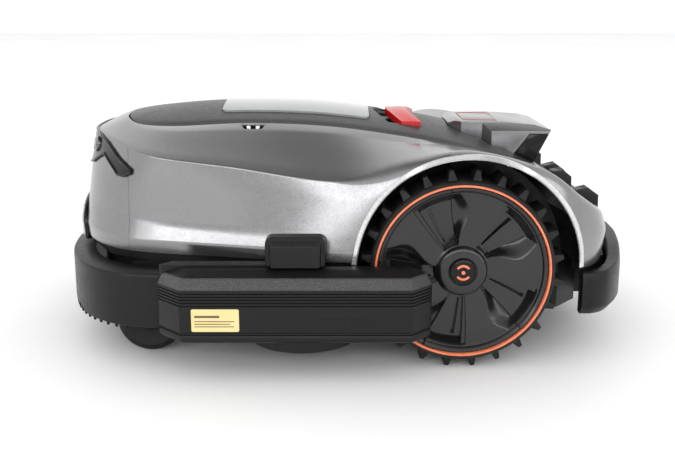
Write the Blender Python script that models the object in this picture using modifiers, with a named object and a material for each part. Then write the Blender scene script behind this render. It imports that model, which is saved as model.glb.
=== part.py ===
"""Robotic lawn mower with two lugged drive wheels, two casters and a side edge trimmer.

Metres, +Z up, +X to the machine's front, +Y to its left. The ground is z = 0. Every piece hangs from one empty,
mower_frame, which stands on the machine's middle plane; the origin is the centre of the whole footprint.
"""

import math

import bmesh
import bpy
from mathutils import Matrix, Vector

# ---------------------------------------------------------------- driving dimensions
GAP = 0.0004  # between pieces that touch
WALL = 0.003  # moulded shell wall
FRAME_X, FRAME_Y = 0.01325, -0.0196  # middle plane and wheelbase datum, from the footprint's centre

WHEEL_X, WHEEL_Z = -0.143, 0.1175  # drive axle; its height is the radius over the lugs
LUG_R, TYRE_R, RIM_R = 0.1175, 0.106, 0.098
WHEEL_IN, WHEEL_W = 0.160, 0.065  # plane of a drive wheel's inner side, and its width
LUGS, WINDOWS = 24, 5
AXLE_R = 0.006
ARCH_X, ARCH_Z, ARCH_R, LINER_R = -0.150, 0.118, 0.129, 0.121  # wheel arch, and the liner wall inside it

CASTER_X, CASTER_Y, CASTER_TRAIL = 0.216, 0.155, 0.012  # swivel axis; the wheel stands this far in front of it
CASTER_R, STEM_R = 0.042, 0.006

BUMPER_CX, BUMPER_A, BUMPER_B, BUMPER_POWER = 0.200, 0.1445, 0.2245, 0.87  # plan of the nose, a superellipse
BUMPER_END = 0.095
BUMPER_WALL, LEDGE_X, LEDGE_Y = 0.004, 0.0265, 0.0320  # wall, and the top ledge's reach at the nose and the sides
BUMPER_LOW, BUMPER_TOP = 0.056, 0.115
TOOTH_DROP, TOOTH_PITCH, TOOTH_GAP, TOOTH_END = 0.008, 0.0135, 0.0070, 0.252  # the comb ends at this x
RELIEF_END = 0.222  # behind this x the bumper's lower edge steps up over the trimmer's guard

CHASSIS_LOW, CHASSIS_TOP, FLOOR = 0.050, 0.118, 0.092
BAY_FLOOR = 0.056  # the deeper bays in front of and behind the blade chamber
CHAMBER_X, CHAMBER_R, CHAMBER_TOP = 0.030, 0.128, 0.088  # round blade chamber under the tray's floor
FLANGE_LOW, FLANGE_TOP = 0.1165, 0.1275

DISC_R, DISC_Z = 0.090, 0.043
BLADES, STUD_RING = 3, 0.078
BLADE_LENGTH, BLADE_WIDTH, BLADE_T = 0.038, 0.018, 0.0010
MOTOR_R, CARRIAGE_Z = 0.030, 0.113
SCREW_X, SCREW_R = 0.089, 0.004
SKID_R = 0.062

LID_REAR, LID_FRONT, LID_HALF = -0.040, 0.145, 0.0725
KEY_DROP = 0.014  # keypad plate below the deck's crown
STOP_REAR, STOP_FRONT, STOP_HALF = -0.108, -0.062, 0.074

TRIM_X, TRIM_Y = 0.040, 0.200  # trimmer spindle
TRIM_LOW, TRIM_SHOULDER, TRIM_SLOPE, TRIM_TOP = 0.060, 0.110, 0.1215, 0.129
TRIM_BACK, TRIM_FACE = 0.2345, 0.270
BASE_LOW, BASE_TOP = 0.048, 0.0596
GUARD_LOW = 0.0345
SHELF_BACK, SHELF_LOW, SHELF_TOP = 0.2205, 0.1185, 0.1300  # shelf of the housing over the bumper's ledge
TRIM_DISC_R, TRIM_STUD, TRIM_REACH = 0.034, 0.029, 0.056
LOUVRE_HALF, LOUVRE_END = 0.100, 0.020  # half width of the tail's slats, and the width of their raised ends

# ---------------------------------------------------------------- body form
# Each ring runs round the left half of the shell, from the nose's middle to the tail's middle, through the same
# twelve stations: nose, nose shoulder, front corner, front flank, flank, before the arch, arch front, arch top,
# arch rear, rear corner, tail corner, tail. Points are (x, y, z).
HEM = [(.329, 0, .130), (.319, .080, .130), (.284, .143, .130), (.231, .179, .130), (.125, .204, .130),
       (.020, .225, .130), (-.060, .231, .130), (-.150, .232, .130), (-.235, .230, .128), (-.284, .205, .1175),
       (-.322, .140, .116), (-.333, 0, .115)]
BAND_LOW = [(.330, 0, .146), (.320, .081, .146), (.285, .1445, .1455), (.232, .181, .145), (.126, .206, .1440),
            (.020, .227, .143), (-.060, .232, .143), (-.150, .233, .144), (-.236, .231, .142), (-.286, .206, .137),
            (-.324, .141, .133), (-.335, 0, .133)]
BAND_HIGH = [(.327, 0, .170), (.3165, .079, .169), (.279, .139, .168), (.228, .174, .1665), (.124, .2003, .162),
             (.020, .2229, .157), (-.060, .231, .156), (-.150, .233, .158), (-.236, .230, .160), (-.287, .204, .158),
             (-.327, .140, .150), (-.3365, 0, .149)]
CREASE = [(.314, 0, .258), (.303, .066, .2585), (.262, .135, .255), (.213, .180, .2440), (.120, .197, .2343),
          (-.005, .2085, .2200), (-.085, .2195, .2430), (-.150, .225, .2565), (-.232, .219, .2365),
          (-.282, .200, .200), (-.320, .140, .172), (-.330, 0, .168)]
STRIP = [(.285, 0, .2725), (.276, .060, .271), (.250, .100, .268), (.205, .125, .2665), (.115, .128, .2675),
         (.015, .128, .2645), (-.075, .130, .2530), (-.150, .134, .2480), (-.212, .135, .2320), (-.248, .130, .2140),
         (-.264, .104, .2060), (-.268, 0, .2045)]
DECK_EDGE = [(.272, 0, .2765), (.266, .055, .2750), (.242, .092, .2705), (.195, .107, .2700), (.105, .110, .2740),
             (.010, .110, .2700), (-.080, .111, .2580), (-.150, .112, .2445), (-.205, .112, .2300),
             (-.238, .105, .2195), (-.252, .082, .2150), (-.256, 0, .2150)]
SHELL_RINGS = [HEM, BAND_LOW, BAND_HIGH, CREASE, STRIP, DECK_EDGE]
# Height of the deck's crown along the middle plane, as (x, z), nose to tail.
CROWN = [(.272, .2765), (.235, .2825), (.190, .2875), (.140, .2900), (.060, .2895), (.010, .2865), (-.045, .2800),
         (-.100, .2725), (-.150, .2620), (-.200, .2460), (-.235, .2270), (-.256, .2150)]

RING_STEPS = 2  # samples between two stations


def spline(points, steps):
    """Catmull-Rom through the points, with steps samples for each stretch."""
    pts = [Vector(p) for p in points]
    ends = [pts[0] * 2 - pts[1], *pts, pts[-1] * 2 - pts[-2]]
    found = []
    for a, b, c, d in zip(ends, ends[1:], ends[2:], ends[3:]):
        for i in range(steps):
            t = i / steps
            found.append(b + (c - a) * (t / 2) + (2 * a - 5 * b + 4 * c - d) * (t * t / 2)
                         + (3 * b - a - 3 * c + d) * (t ** 3 / 2))
    return [*found, pts[-1]]


def half_ring(points, steps):
    """A ring's left half, met at a right angle by the middle plane."""
    mirrored = [Vector((p[0], -p[1], p[2])) for p in points]
    whole = [mirrored[1], *[Vector(p) for p in points], mirrored[-2]]
    return spline(whole, steps)[steps:-steps]


def full_ring(points, steps):
    left = half_ring(points, steps)
    right = [Vector((p.x, -p.y, p.z)) for p in reversed(left[1:-1])]
    return left + right


def along(table, x):
    """Straight-line reading of an (x, z) table whose x falls."""
    for (x0, z0), (x1, z1) in zip(table, table[1:]):
        if x >= x1:
            return z0 + (z1 - z0) * min(1, (x0 - x) / (x0 - x1))
    return table[-1][1]


CROWN_FINE = [(p.x, p.y) for p in spline([(x, z, 0) for x, z in CROWN], 6)]
EDGE_FINE = [(p.x, p.z) for p in half_ring(DECK_EDGE, 6)]


def deck_z(x, y):
    """Height of the deck's outer face."""
    crown = along(CROWN_FINE, x)
    return crown - (crown - along(EDGE_FINE, x)) * (y / DECK_EDGE[4][1]) ** 2


def bumper_plan(inset_x, inset_y, steps):
    """Left half of the nose in plan, from its tip to the end of its side, as (x, y)."""
    found = []
    for i in range(steps):
        t = math.pi / 2 * i / steps
        found.append((BUMPER_CX + (BUMPER_A - inset_x) * math.cos(t) ** BUMPER_POWER,
                      (BUMPER_B - inset_y) * math.sin(t) ** BUMPER_POWER))
    return [*found, (BUMPER_CX, BUMPER_B - inset_y), (BUMPER_END, BUMPER_B + 0.003 - inset_y)]


def strip_between(outer, inner):
    """The closed outline between two left-half plans and their mirror images."""
    right_outer, right_inner = ([(x, -y) for x, y in half[1:]] for half in (outer, inner))
    return [*reversed(right_outer), *outer, *reversed(inner), *right_inner]


# ---------------------------------------------------------------- scene helpers
def fresh_scene():
    for obj in list(bpy.data.objects):
        bpy.data.objects.remove(obj)
    model = bpy.data.collections.new("robotic_lawn_mower")
    cutters = bpy.data.collections.new("cutters")
    for collection in (model, cutters):
        bpy.context.scene.collection.children.link(collection)
    frame = bpy.data.objects.new("mower_frame", None)
    frame.location = (FRAME_X, FRAME_Y, 0)
    model.objects.link(frame)
    return model, cutters, frame


MODEL, CUTTERS, FRAME = fresh_scene()
MATERIALS = {}


def material(name, colour, roughness, metallic=0.0):
    made = bpy.data.materials.new(name)
    made.use_nodes = True
    shader = made.node_tree.nodes["Principled BSDF"]
    shader.inputs["Base Color"].default_value = (*colour, 1)
    shader.inputs["Roughness"].default_value = roughness
    shader.inputs["Metallic"].default_value = metallic
    MATERIALS[name] = made


material("silver_paint", (0.42, 0.42, 0.43), 0.35, 0.6)
material("black_plastic", (0.030, 0.030, 0.032), 0.55)
material("gloss_black", (0.012, 0.012, 0.014), 0.12)
material("dark_grey", (0.09, 0.09, 0.095), 0.40)
material("panel_grey", (0.55, 0.56, 0.57), 0.12)
material("red_plastic", (0.75, 0.03, 0.02), 0.30)
material("rubber", (0.022, 0.022, 0.022), 0.75)
material("copper_accent", (0.85, 0.30, 0.16), 0.40)
material("steel", (0.55, 0.55, 0.56), 0.25, 1.0)
material("lens_glass", (0.02, 0.025, 0.03), 0.05)
material("battery_blue", (0.05, 0.10, 0.20), 0.50)
material("module_silver", (0.36, 0.36, 0.37), 0.32, 0.5)


def add(name, mesh, finish, collection=None):
    obj = bpy.data.objects.new(name, mesh)
    (collection or MODEL).objects.link(obj)
    obj.parent = FRAME
    if finish:
        mesh.materials.append(MATERIALS[finish])
    return obj


def from_bmesh(name, bm, finish, collection=None):
    bmesh.ops.recalc_face_normals(bm, faces=bm.faces)
    mesh = bpy.data.meshes.new(name)
    bm.to_mesh(mesh)
    bm.free()
    return add(name, mesh, finish, collection)


def box(name, low, high, finish=None, bevel=0.0, collection=None):
    """A block between two corners, its edges rounded by bevel."""
    low, high = Vector(low), Vector(high)
    bm = bmesh.new()
    bmesh.ops.create_cube(bm, size=1)
    bmesh.ops.scale(bm, vec=high - low, verts=bm.verts)
    obj = from_bmesh(name, bm, finish, collection)
    obj.location = (low + high) / 2
    if bevel:
        rounding = obj.modifiers.new("edges", "BEVEL")
        rounding.width, rounding.segments = bevel, 1
        rounding.limit_method = "ANGLE"
    return obj


def rod(name, radius, start, end, finish=None, segments=20, collection=None, radius_end=None):
    """A cylinder or cone between two points."""
    start, end = Vector(start), Vector(end)
    bm = bmesh.new()
    bmesh.ops.create_cone(bm, cap_ends=True, segments=segments, radius1=radius,
                          radius2=radius if radius_end is None else radius_end, depth=(end - start).length)
    obj = from_bmesh(name, bm, finish, collection)
    obj.location = (start + end) / 2
    obj.rotation_euler = (end - start).to_track_quat("Z", "Y").to_euler()
    return obj


def turned(name, profile, place, axis, finish, steps=32, collection=None):
    """A closed profile of (radius, height) turned about its axis; it runs down its outer side."""
    mesh = bpy.data.meshes.new(name)
    count = len(profile)
    on_axis = profile[0][0] == 0
    edges = [(i, i + 1) for i in range(count - 1)] + ([] if on_axis else [(count - 1, 0)])
    mesh.from_pydata([(r, 0, h) for r, h in profile], edges, [])
    obj = add(name, mesh, finish, collection)
    screw = obj.modifiers.new("turn", "SCREW")
    screw.steps = screw.render_steps = steps
    screw.use_merge_vertices = True
    screw.merge_threshold = 0.00005
    obj.location = place
    obj.rotation_euler = Vector(axis).to_track_quat("Z", "Y").to_euler()
    return obj


def as_mesh(obj):
    """The evaluated object as a mesh object of its own, caps welded, so that Booleans can use it."""
    bpy.context.view_layer.update()
    graph = bpy.context.evaluated_depsgraph_get()
    mesh = bpy.data.meshes.new_from_object(obj.evaluated_get(graph))
    bm = bmesh.new()
    bm.from_mesh(mesh)
    bmesh.ops.remove_doubles(bm, verts=bm.verts, dist=0.00001)
    bmesh.ops.recalc_face_normals(bm, faces=bm.faces)
    bm.to_mesh(mesh)
    bm.free()
    name, place = obj.name, obj.matrix_basis.copy()
    collection = obj.users_collection[0]
    bpy.data.objects.remove(obj)
    solid = bpy.data.objects.new(name, mesh)
    collection.objects.link(solid)
    solid.parent = FRAME
    solid.matrix_basis = place
    return solid


def plate(name, outlines, low, high, finish=None, collection=None):
    """Flat outlines of (x, y), the first outside and the rest holes, from low to high in z."""
    curve = bpy.data.curves.new(name, "CURVE")
    curve.dimensions, curve.fill_mode = "2D", "BOTH"
    curve.extrude = (high - low) / 2
    for outline in outlines:
        line = curve.splines.new("POLY")
        line.points.add(len(outline) - 1)
        for point, (x, y) in zip(line.points, outline):
            point.co = (x, y, 0, 1)
        line.use_cyclic_u = True
    if finish:
        curve.materials.append(MATERIALS[finish])
    obj = bpy.data.objects.new(name, curve)
    (collection or MODEL).objects.link(obj)
    obj.parent = FRAME
    obj.location = (0, 0, (low + high) / 2)
    return as_mesh(obj)


def side_profile(name, outline, half, finish=None, collection=None):
    """An outline of (x, z) drawn from y = -half to y = half."""
    obj = plate(name, [outline], -half, half, finish, collection)
    obj.matrix_basis = Matrix.Rotation(math.pi / 2, 4, "X")
    return obj


def loft(name, loops, finish=None, closed_ends=True, wrap=False, collection=None):
    """Faces between unlike closed sections, capped at both ends or wrapped round to the first."""
    bm = bmesh.new()
    rows = [[bm.verts.new(p) for p in loop] for loop in loops]
    pairs = list(zip(rows, rows[1:])) + ([(rows[-1], rows[0])] if wrap else [])
    for a, b in pairs:
        for i in range(len(a)):
            j = (i + 1) % len(a)
            bm.faces.new((a[i], a[j], b[j], b[i]))
    if closed_ends and not wrap:
        bm.faces.new(rows[0])
        bm.faces.new(reversed(rows[-1]))
    return from_bmesh(name, bm, finish, collection)


def boolean(target, other, operation, keep=False):
    """Adds a Boolean. The other object becomes a hidden helper unless it is kept."""
    step = target.modifiers.new(operation.lower(), "BOOLEAN")
    step.operation, step.solver, step.object = operation, "EXACT", other
    if not keep:
        other.hide_render = True
        other.display_type = "WIRE"
        for collection in other.users_collection:
            collection.objects.unlink(other)
        CUTTERS.objects.link(other)
    return target


def cut(target, *others):
    for other in others:
        boolean(target, other, "DIFFERENCE")
    return target


def join(target, *others):
    for other in others:
        boolean(target, other, "UNION")
    return target


def arc(cx, cy, radius, start, end, steps):
    """Points on a circle, angles in degrees."""
    return [(cx + radius * math.cos(math.radians(start + (end - start) * i / steps)),
             cy + radius * math.sin(math.radians(start + (end - start) * i / steps))) for i in range(steps + 1)]


def circle(cx, cy, radius, segments):
    return arc(cx, cy, radius, 0, 360, segments)[:-1]


def rounded(points, radius, steps=3):
    """The outline with each corner replaced by a short curve."""
    found = []
    count = len(points)
    for i in range(count):
        here, before, after = (Vector(points[k % count]) for k in (i, i - 1, i + 1))
        start = here + (before - here).normalized() * radius
        end = here + (after - here).normalized() * radius
        for k in range(steps + 1):
            t = k / steps
            found.append(tuple(start * (1 - t) ** 2 + here * (2 * t * (1 - t)) + end * t * t))
    return found


def mirrored(half_outline):
    """A left-half outline of (x, y) closed by its mirror image."""
    return [*half_outline, *[(x, -y) for x, y in reversed(half_outline) if abs(y) > 1e-9]]


def grown(outline, amount):
    """The outline with every point moved away from its centre."""
    centre = sum((Vector(p) for p in outline), Vector((0, 0))) / len(outline)
    return [tuple(Vector(p) + (Vector(p) - centre).normalized() * amount) for p in outline]


def set_origin(obj, point):
    """Moves an unrotated object's origin, leaving its shape where it is."""
    shift = Vector(point) - obj.location
    obj.data.transform(Matrix.Translation(-shift))
    obj.location = point
    return obj


def solid_sheet(name, bm, thickness, finish):
    """An open surface made solid inwards; its faces are first turned outwards, away from the body."""
    bmesh.ops.recalc_face_normals(bm, faces=bm.faces)
    middle = Vector((0, 0, 0.12))
    if sum((f.calc_center_median() - middle).dot(f.normal) * f.calc_area() for f in bm.faces) < 0:
        bmesh.ops.reverse_faces(bm, faces=bm.faces)
    mesh = bpy.data.meshes.new(name)
    bm.to_mesh(mesh)
    bm.free()
    obj = add(name, mesh, finish)
    wall = obj.modifiers.new("wall", "SOLIDIFY")
    wall.thickness, wall.offset = thickness, -1
    return obj


def patch(name, columns, rows, place, thickness, finish, upright=False):
    """A curved sheet: place(u, v) gives its outer points, u and v from 0 to 1. Its wall goes inwards or down."""
    bm = bmesh.new()
    grid = [[bm.verts.new(place(i / columns, j / rows)) for j in range(rows + 1)] for i in range(columns + 1)]
    for a, b in zip(grid, grid[1:]):
        for j in range(rows):
            bm.faces.new((a[j], a[j + 1], b[j + 1], b[j]))
    if upright:
        under = bmesh.ops.extrude_face_region(bm, geom=bm.faces[:])["geom"]
        lowered = [v for v in under if isinstance(v, bmesh.types.BMVert)]
        bmesh.ops.translate(bm, vec=(0, 0, -thickness), verts=lowered)
        return from_bmesh(name, bm, finish)
    return solid_sheet(name, bm, thickness, finish)


# ---------------------------------------------------------------- body
def arch_cutters(side):
    near, far = sorted((side * 0.165, side * 0.300))
    arch = rod("arch_cutter", ARCH_R, (ARCH_X, near, ARCH_Z), (ARCH_X, far, ARCH_Z), segments=48, collection=CUTTERS)
    skirt = box("arch_skirt_cutter", (ARCH_X - ARCH_R, near, 0.05), (ARCH_X + ARCH_R, far, ARCH_Z), collection=CUTTERS)
    return arch, skirt


def top_shell():
    bm = bmesh.new()
    rows = [[bm.verts.new(p) for p in full_ring(ring, RING_STEPS)] for ring in SHELL_RINGS]
    for a, b in zip(rows, rows[1:]):
        for i in range(len(a)):
            j = (i + 1) % len(a)
            bm.faces.new((a[i], a[j], b[j], b[i]))
    shell = solid_sheet("top_shell", bm, WALL, "silver_paint")
    for side in (1, -1):
        cut(shell, *arch_cutters(side))
    for name, outline in LOUVRES.items():
        cut(shell, side_profile(name + "_cutter", grown(outline, 0.0009), LOUVRE_HALF + GAP))


# Side outlines (x, z) of the two stepped slats across the tail.
LOUVRES = {
    "louvre_upper": [(-.2700, .1900), (-.2676, .2117), (-.2811, .2138), (-.2915, .2053), (-.2920, .1820)],
    "louvre_lower": [(-.2985, .1700), (-.2965, .1875), (-.3130, .1916), (-.3264, .1820), (-.3270, .1600)],
}


# The low middle of each slat, flush with the shell.
LOUVRE_BEDS = {
    "louvre_upper": [(-.2699, .1904), (-.2684, .2030), (-.2914, .1895), (-.2917, .1824)],
    "louvre_lower": [(-.2984, .1704), (-.2970, .1862), (-.3260, .1690), (-.3266, .1606)],
}


def louvres():
    for name, outline in LOUVRES.items():
        slat = side_profile(name, LOUVRE_BEDS[name], LOUVRE_HALF, "black_plastic")
        for side in (1, -1):
            end = side_profile("louvre_end", outline, LOUVRE_END / 2)
            end.location.y = side * (LOUVRE_HALF - LOUVRE_END / 2)
            join(slat, end)


def deck_panel():
    """The dark deck: a crowned sheet inside the shell's upper edge, open for its lid, button and rear module."""
    ring = full_ring(DECK_EDGE, RING_STEPS)
    count, half = len(ring), len(ring) // 2
    edge_gap = 0.0024
    bm = bmesh.new()
    rows = []
    for share in (1.0, 0.72, 0.4):
        row = []
        for p in ring:
            core = Vector((max(-0.19, min(0.20, p.x)), 0))
            out = Vector((p.x, p.y)) - core
            flat = core + out * (share - edge_gap / out.length if share == 1.0 else share)
            drop = (along(CROWN_FINE, p.x) - p.z) * share ** 2
            row.append(bm.verts.new((flat.x, flat.y, along(CROWN_FINE, flat.x) - drop)))
        rows.append(row)
    for a, b in zip(rows, rows[1:]):
        for i in range(count):
            j = (i + 1) % count
            bm.faces.new((a[i], a[j], b[j], b[i]))
    inner = rows[-1]
    for i in range(half):
        corners = [inner[i], inner[i + 1], inner[(count - i - 1) % count], inner[(count - i) % count]]
        bm.faces.new(list(dict.fromkeys(corners)))
    deck = solid_sheet("deck_panel", bm, WALL, "dark_grey")
    clear = 0.0008
    lid = box("lid_cutter", (LID_REAR - clear, -LID_HALF - clear, 0.25), (LID_FRONT + clear, LID_HALF + clear, 0.32))
    stop = box("stop_cutter", (STOP_REAR - clear, -STOP_HALF - clear, 0.22),
               (STOP_FRONT + clear, STOP_HALF + clear, 0.32))
    module = plate("module_cutter", [mirrored(module_plan(-0.2485, clear))], 0.18, 0.32)
    cut(deck, lid, stop, module)


def control_lid():
    """The glossy lid, hinged along its front edge."""
    def place(u, v):
        x, y = LID_REAR + (LID_FRONT - LID_REAR) * u, LID_HALF * (2 * v - 1)
        return (x, y, deck_z(x, y) + 0.0010)
    lid = patch("control_lid", 8, 6, place, WALL, "panel_grey")
    set_origin(lid, (LID_FRONT, 0, deck_z(LID_FRONT, 0)))


KEYS = {"key_power": 0.105, "key_start": 0.050, "key_home": -0.005}
KEY_HALF, KEY_Y = 0.009, -0.030


def keypad():
    """The plate under the lid, with a screen on it and three keys standing through it."""
    top = deck_z(LID_REAR, 0) - KEY_DROP
    base = box("keypad", (LID_REAR - 0.004, -LID_HALF - 0.003, top - 0.003), (LID_FRONT + 0.003, LID_HALF + 0.003, top),
               "black_plastic")
    for name, x in KEYS.items():
        low = (x - KEY_HALF, KEY_Y - KEY_HALF, top - 0.006)
        high = (x + KEY_HALF, KEY_Y + KEY_HALF, top + 0.0025)
        box(name, low, high, "dark_grey", 0.001)
        margin = Vector((0.0005, 0.0005, 0.01))
        cut(base, box(name + "_cutter", Vector(low) - margin, Vector(high) + margin))
    box("status_screen", (0.010, 0.005, top + GAP), (0.090, 0.050, top + 0.003), "gloss_black", 0.0008)


def stop_button():
    """A broad red paddle across the deck, proud of it and highest at its front."""
    def place(u, v):
        x, y = STOP_REAR + (STOP_FRONT - STOP_REAR) * u, STOP_HALF * (2 * v - 1)
        return (x, y, deck_z(x, y) + 0.002 + 0.007 * u ** 0.7)
    patch("stop_button", 4, 8, place, 0.010, "red_plastic", upright=True)


def module_plan(rear, grow=0.0):
    """Left half of the rear module in plan: a narrow nose and wide parallel sides."""
    return [(-.143 + grow, 0), (-.143 + grow, .040 + grow), (-.158 + grow, .056 + grow), (-.184 + grow, .060 + grow),
            (-.194 + grow, .076 + grow), (rear - grow, .076 + grow), (rear - grow, 0)]


# Side outline (x, z) of the rear module.
MODULE_SIDE = [(-.140, .2480), (-.140, .2655), (-.150, .2690), (-.208, .2690), (-.250, .2655), (-.2690, .2605),
               (-.2440, .2120), (-.2000, .2280)]
WINDOW = [(-.2180, .2280), (-.2420, .2540), (-.2625, .2540), (-.2465, .2205)]


def rear_module():
    """Antenna and display module on the deck's tail, hollow below, with its own cap and two dark side windows."""
    body = plate("module_body", [mirrored(module_plan(-0.270))], 0.195, 0.300, "module_silver")
    boolean(body, side_profile("module_side", MODULE_SIDE, 0.1), "INTERSECT")
    cap = [(-.162, 0), (-.162, .044), (-.206, .048), (-.206, 0)]
    recess = plate("module_recess", [mirrored(cap)], 0.2636, 0.32)
    hollow = plate("module_hollow", [mirrored([(-.153, 0), (-.153, .036), (-.190, .050), (-.232, .056), (-.232, 0)])],
                   0.18, 0.2510)
    cut(body, recess, hollow)
    inner_cap = [(-.1625, 0), (-.1625, .0435), (-.2055, .0475), (-.2055, 0)]
    plate("module_lid", [mirrored(inner_cap)], 0.2640, 0.2697, "module_silver")
    for side_name, side in SIDES.items():
        bed = side_profile("window_bed", grown(WINDOW, 0.0008), 0.0030)
        bed.location.y = side * 0.0760
        cut(body, bed)
        pane = side_profile("module_window_" + side_name, WINDOW, 0.0012, "gloss_black")
        pane.location.y = side * 0.0745


SIDES = {"left": 1, "right": -1}


def body_point(station, level, lift=0.0):
    """A point on the shell's outer face, lifted off it. Level 0 is the hem, 1 the next ring and so on."""
    rings = [half_ring(ring, RING_STEPS) for ring in SHELL_RINGS]
    side = -1 if station < 0 else 1

    def read(s, ring_level):
        row, part = min(int(ring_level), len(rings) - 2), ring_level - min(int(ring_level), len(rings) - 2)
        place = min(s * RING_STEPS, len(rings[0]) - 1.001)
        i, t = int(place), place - int(place)
        low, high = (rings[k][i].lerp(rings[k][i + 1], t) for k in (row, row + 1))
        return low.lerp(high, part)

    s = abs(station)
    here = read(s, level)
    along_ring = read(s + 0.02, level) - read(max(0, s - 0.02), level)
    up_face = read(s, min(5, level + 0.02)) - read(s, level - 0.02)
    if s < 0.02:
        along_ring.x = along_ring.z = 0
    normal = along_ring.cross(up_face).normalized()
    if normal.dot(here - Vector((0, 0, 0.12))) < 0:
        normal = -normal
    found = here + normal * lift
    return Vector((found.x, side * found.y, found.z))


def skin(name, reach, levels, lift, thickness, finish):
    """A sheet lying on the shell from -reach to reach stations; levels(station) lists the rows it runs through."""
    columns = round(2 * reach * RING_STEPS)
    bm = bmesh.new()
    grid = []
    for i in range(columns + 1):
        station = reach * (2 * i / columns - 1)
        grid.append([bm.verts.new(body_point(station, level, lift)) for level in levels(abs(station))])
    for a, b in zip(grid, grid[1:]):
        for j in range(len(a) - 1):
            bm.faces.new((a[j], a[j + 1], b[j + 1], b[j]))
    return solid_sheet(name, bm, thickness, finish)


def camera_bezel():
    """Gloss black visor wrapped round the nose under the deck, its ends swept back, with a lens at each side."""
    skin("camera_bezel", 2.5, lambda s: (2.50 + 0.03 * s, 3.0, 3.40 - 0.10 * s), 0.0042, 0.0026, "gloss_black")
    for side_name, side in SIDES.items():
        base, tip = (body_point(side * 1.15, 2.75, lift) for lift in (0.0050, 0.0080))
        rod("camera_lens_" + side_name, 0.0110, base, tip, "lens_glass")


def nose_panel():
    """Dark plate low on the nose, carrying the two charging contacts."""
    skin("nose_panel", 1.0, lambda s: (0.12, 1.0, 1.9), 0.0034, 0.0024, "black_plastic")
    front = body_point(0, 1.0, 0.0034).x + 0.0004
    for side_name, side in SIDES.items():
        low, high = sorted((side * 0.018, side * 0.036))
        box("charge_contact_" + side_name, (front, low, .1420), (front + .0015, high, .1560), "steel", 0.0004)


def rain_sensor():
    """Two steel studs on a small plate on the left shoulder."""
    place = body_point(4.08, 4.52, 0.0010)
    base = box("rain_sensor", (place.x - .013, place.y - .0045, place.z - .0002),
               (place.x + .013, place.y + .0045, place.z + .0022), "steel", 0.0006)
    for offset in (-0.007, 0.007):
        stud = rod("rain_stud", 0.0034, (place.x + offset, place.y, place.z + .001),
                   (place.x + offset, place.y, place.z + .0052), segments=16, radius_end=0.0018)
        join(base, stud)
    base.rotation_euler.x = -0.30


def front_bumper():
    """Floating bumper round the nose: a wall with a broad top ledge under the shell and a comb of teeth below."""
    steps = 14
    sides = strip_between(bumper_plan(0, 0, steps), bumper_plan(BUMPER_WALL, BUMPER_WALL, steps))
    wall = plate("front_bumper", [sides], BUMPER_LOW - TOOTH_DROP, BUMPER_TOP, "black_plastic")
    top = strip_between(bumper_plan(0.001, 0.001, steps), bumper_plan(LEDGE_X, LEDGE_Y, steps))
    join(wall, plate("bumper_ledge", [top], BUMPER_TOP - 0.004, BUMPER_TOP + 0.0001))
    gaps = bmesh.new()
    for place, run in tooth_gaps():
        for side in (1, -1):
            turn = Matrix.Rotation(side * math.atan2(run.y, run.x), 4, "Z")
            block = bmesh.ops.create_cube(gaps, size=1)["verts"]
            bmesh.ops.scale(gaps, vec=(TOOTH_GAP, 0.022, 2 * TOOTH_DROP), verts=block)
            centre = Matrix.Translation((place.x, side * place.y, BUMPER_LOW - TOOTH_DROP))
            bmesh.ops.transform(gaps, matrix=centre @ turn, verts=block)
    cut(wall, from_bmesh("tooth_gaps", gaps, None, CUTTERS))
    cut(wall, box("side_relief", (.08, -.25, BUMPER_LOW - .02), (RELIEF_END, .25, BUMPER_LOW)))


def tooth_gaps():
    """Middle and direction of each gap between teeth on the nose's left half, evenly spaced along its wall."""
    line = [Vector(p) for p in bumper_plan(BUMPER_WALL / 2, BUMPER_WALL / 2, 200)]
    travelled, wanted, found = 0.0, TOOTH_PITCH / 2, []
    for a, b in zip(line, line[1:]):
        travelled += (b - a).length
        if travelled >= wanted and b.x > TOOTH_END:
            found.append((b, (b - a).normalized()))
            wanted += TOOTH_PITCH
    return found


# Left half of the rear bumper in plan with the height of its top there, as (x, y, z).
REAR_PLAN = [(-.285, .206, .1110), (-.302, .205, .1115), (-.322, .191, .1125), (-.342, .155, .115), (-.358, .100, .121),
             (-.368, .045, .124), (-.3710, 0, .1245)]


def rear_bumper():
    """Black tail bumper, lofted from one section after another along its plan."""
    line = [Vector(p) for p in REAR_PLAN]
    line = line + [Vector((p.x, -p.y, p.z)) for p in reversed(line[:-1])]
    loops = []
    for i, p in enumerate(line):
        before, after = line[max(i - 1, 0)], line[min(i + 1, len(line) - 1)]
        run = Vector((after.x - before.x, after.y - before.y)).normalized()
        inward = Vector((-run.y, run.x))
        if inward.dot(Vector((-0.2, 0)) - Vector((p.x, p.y))) < 0:
            inward = -inward
        section = [(.011, .058), (0, .069), (.0015, p.z - .006), (.006, p.z), (.015, p.z - .001), (.017, .096),
                   (.017, .060)]
        loops.append([(p.x + inward.x * d, p.y + inward.y * d, z) for d, z in section])
    loft("rear_bumper", loops, "black_plastic")


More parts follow.
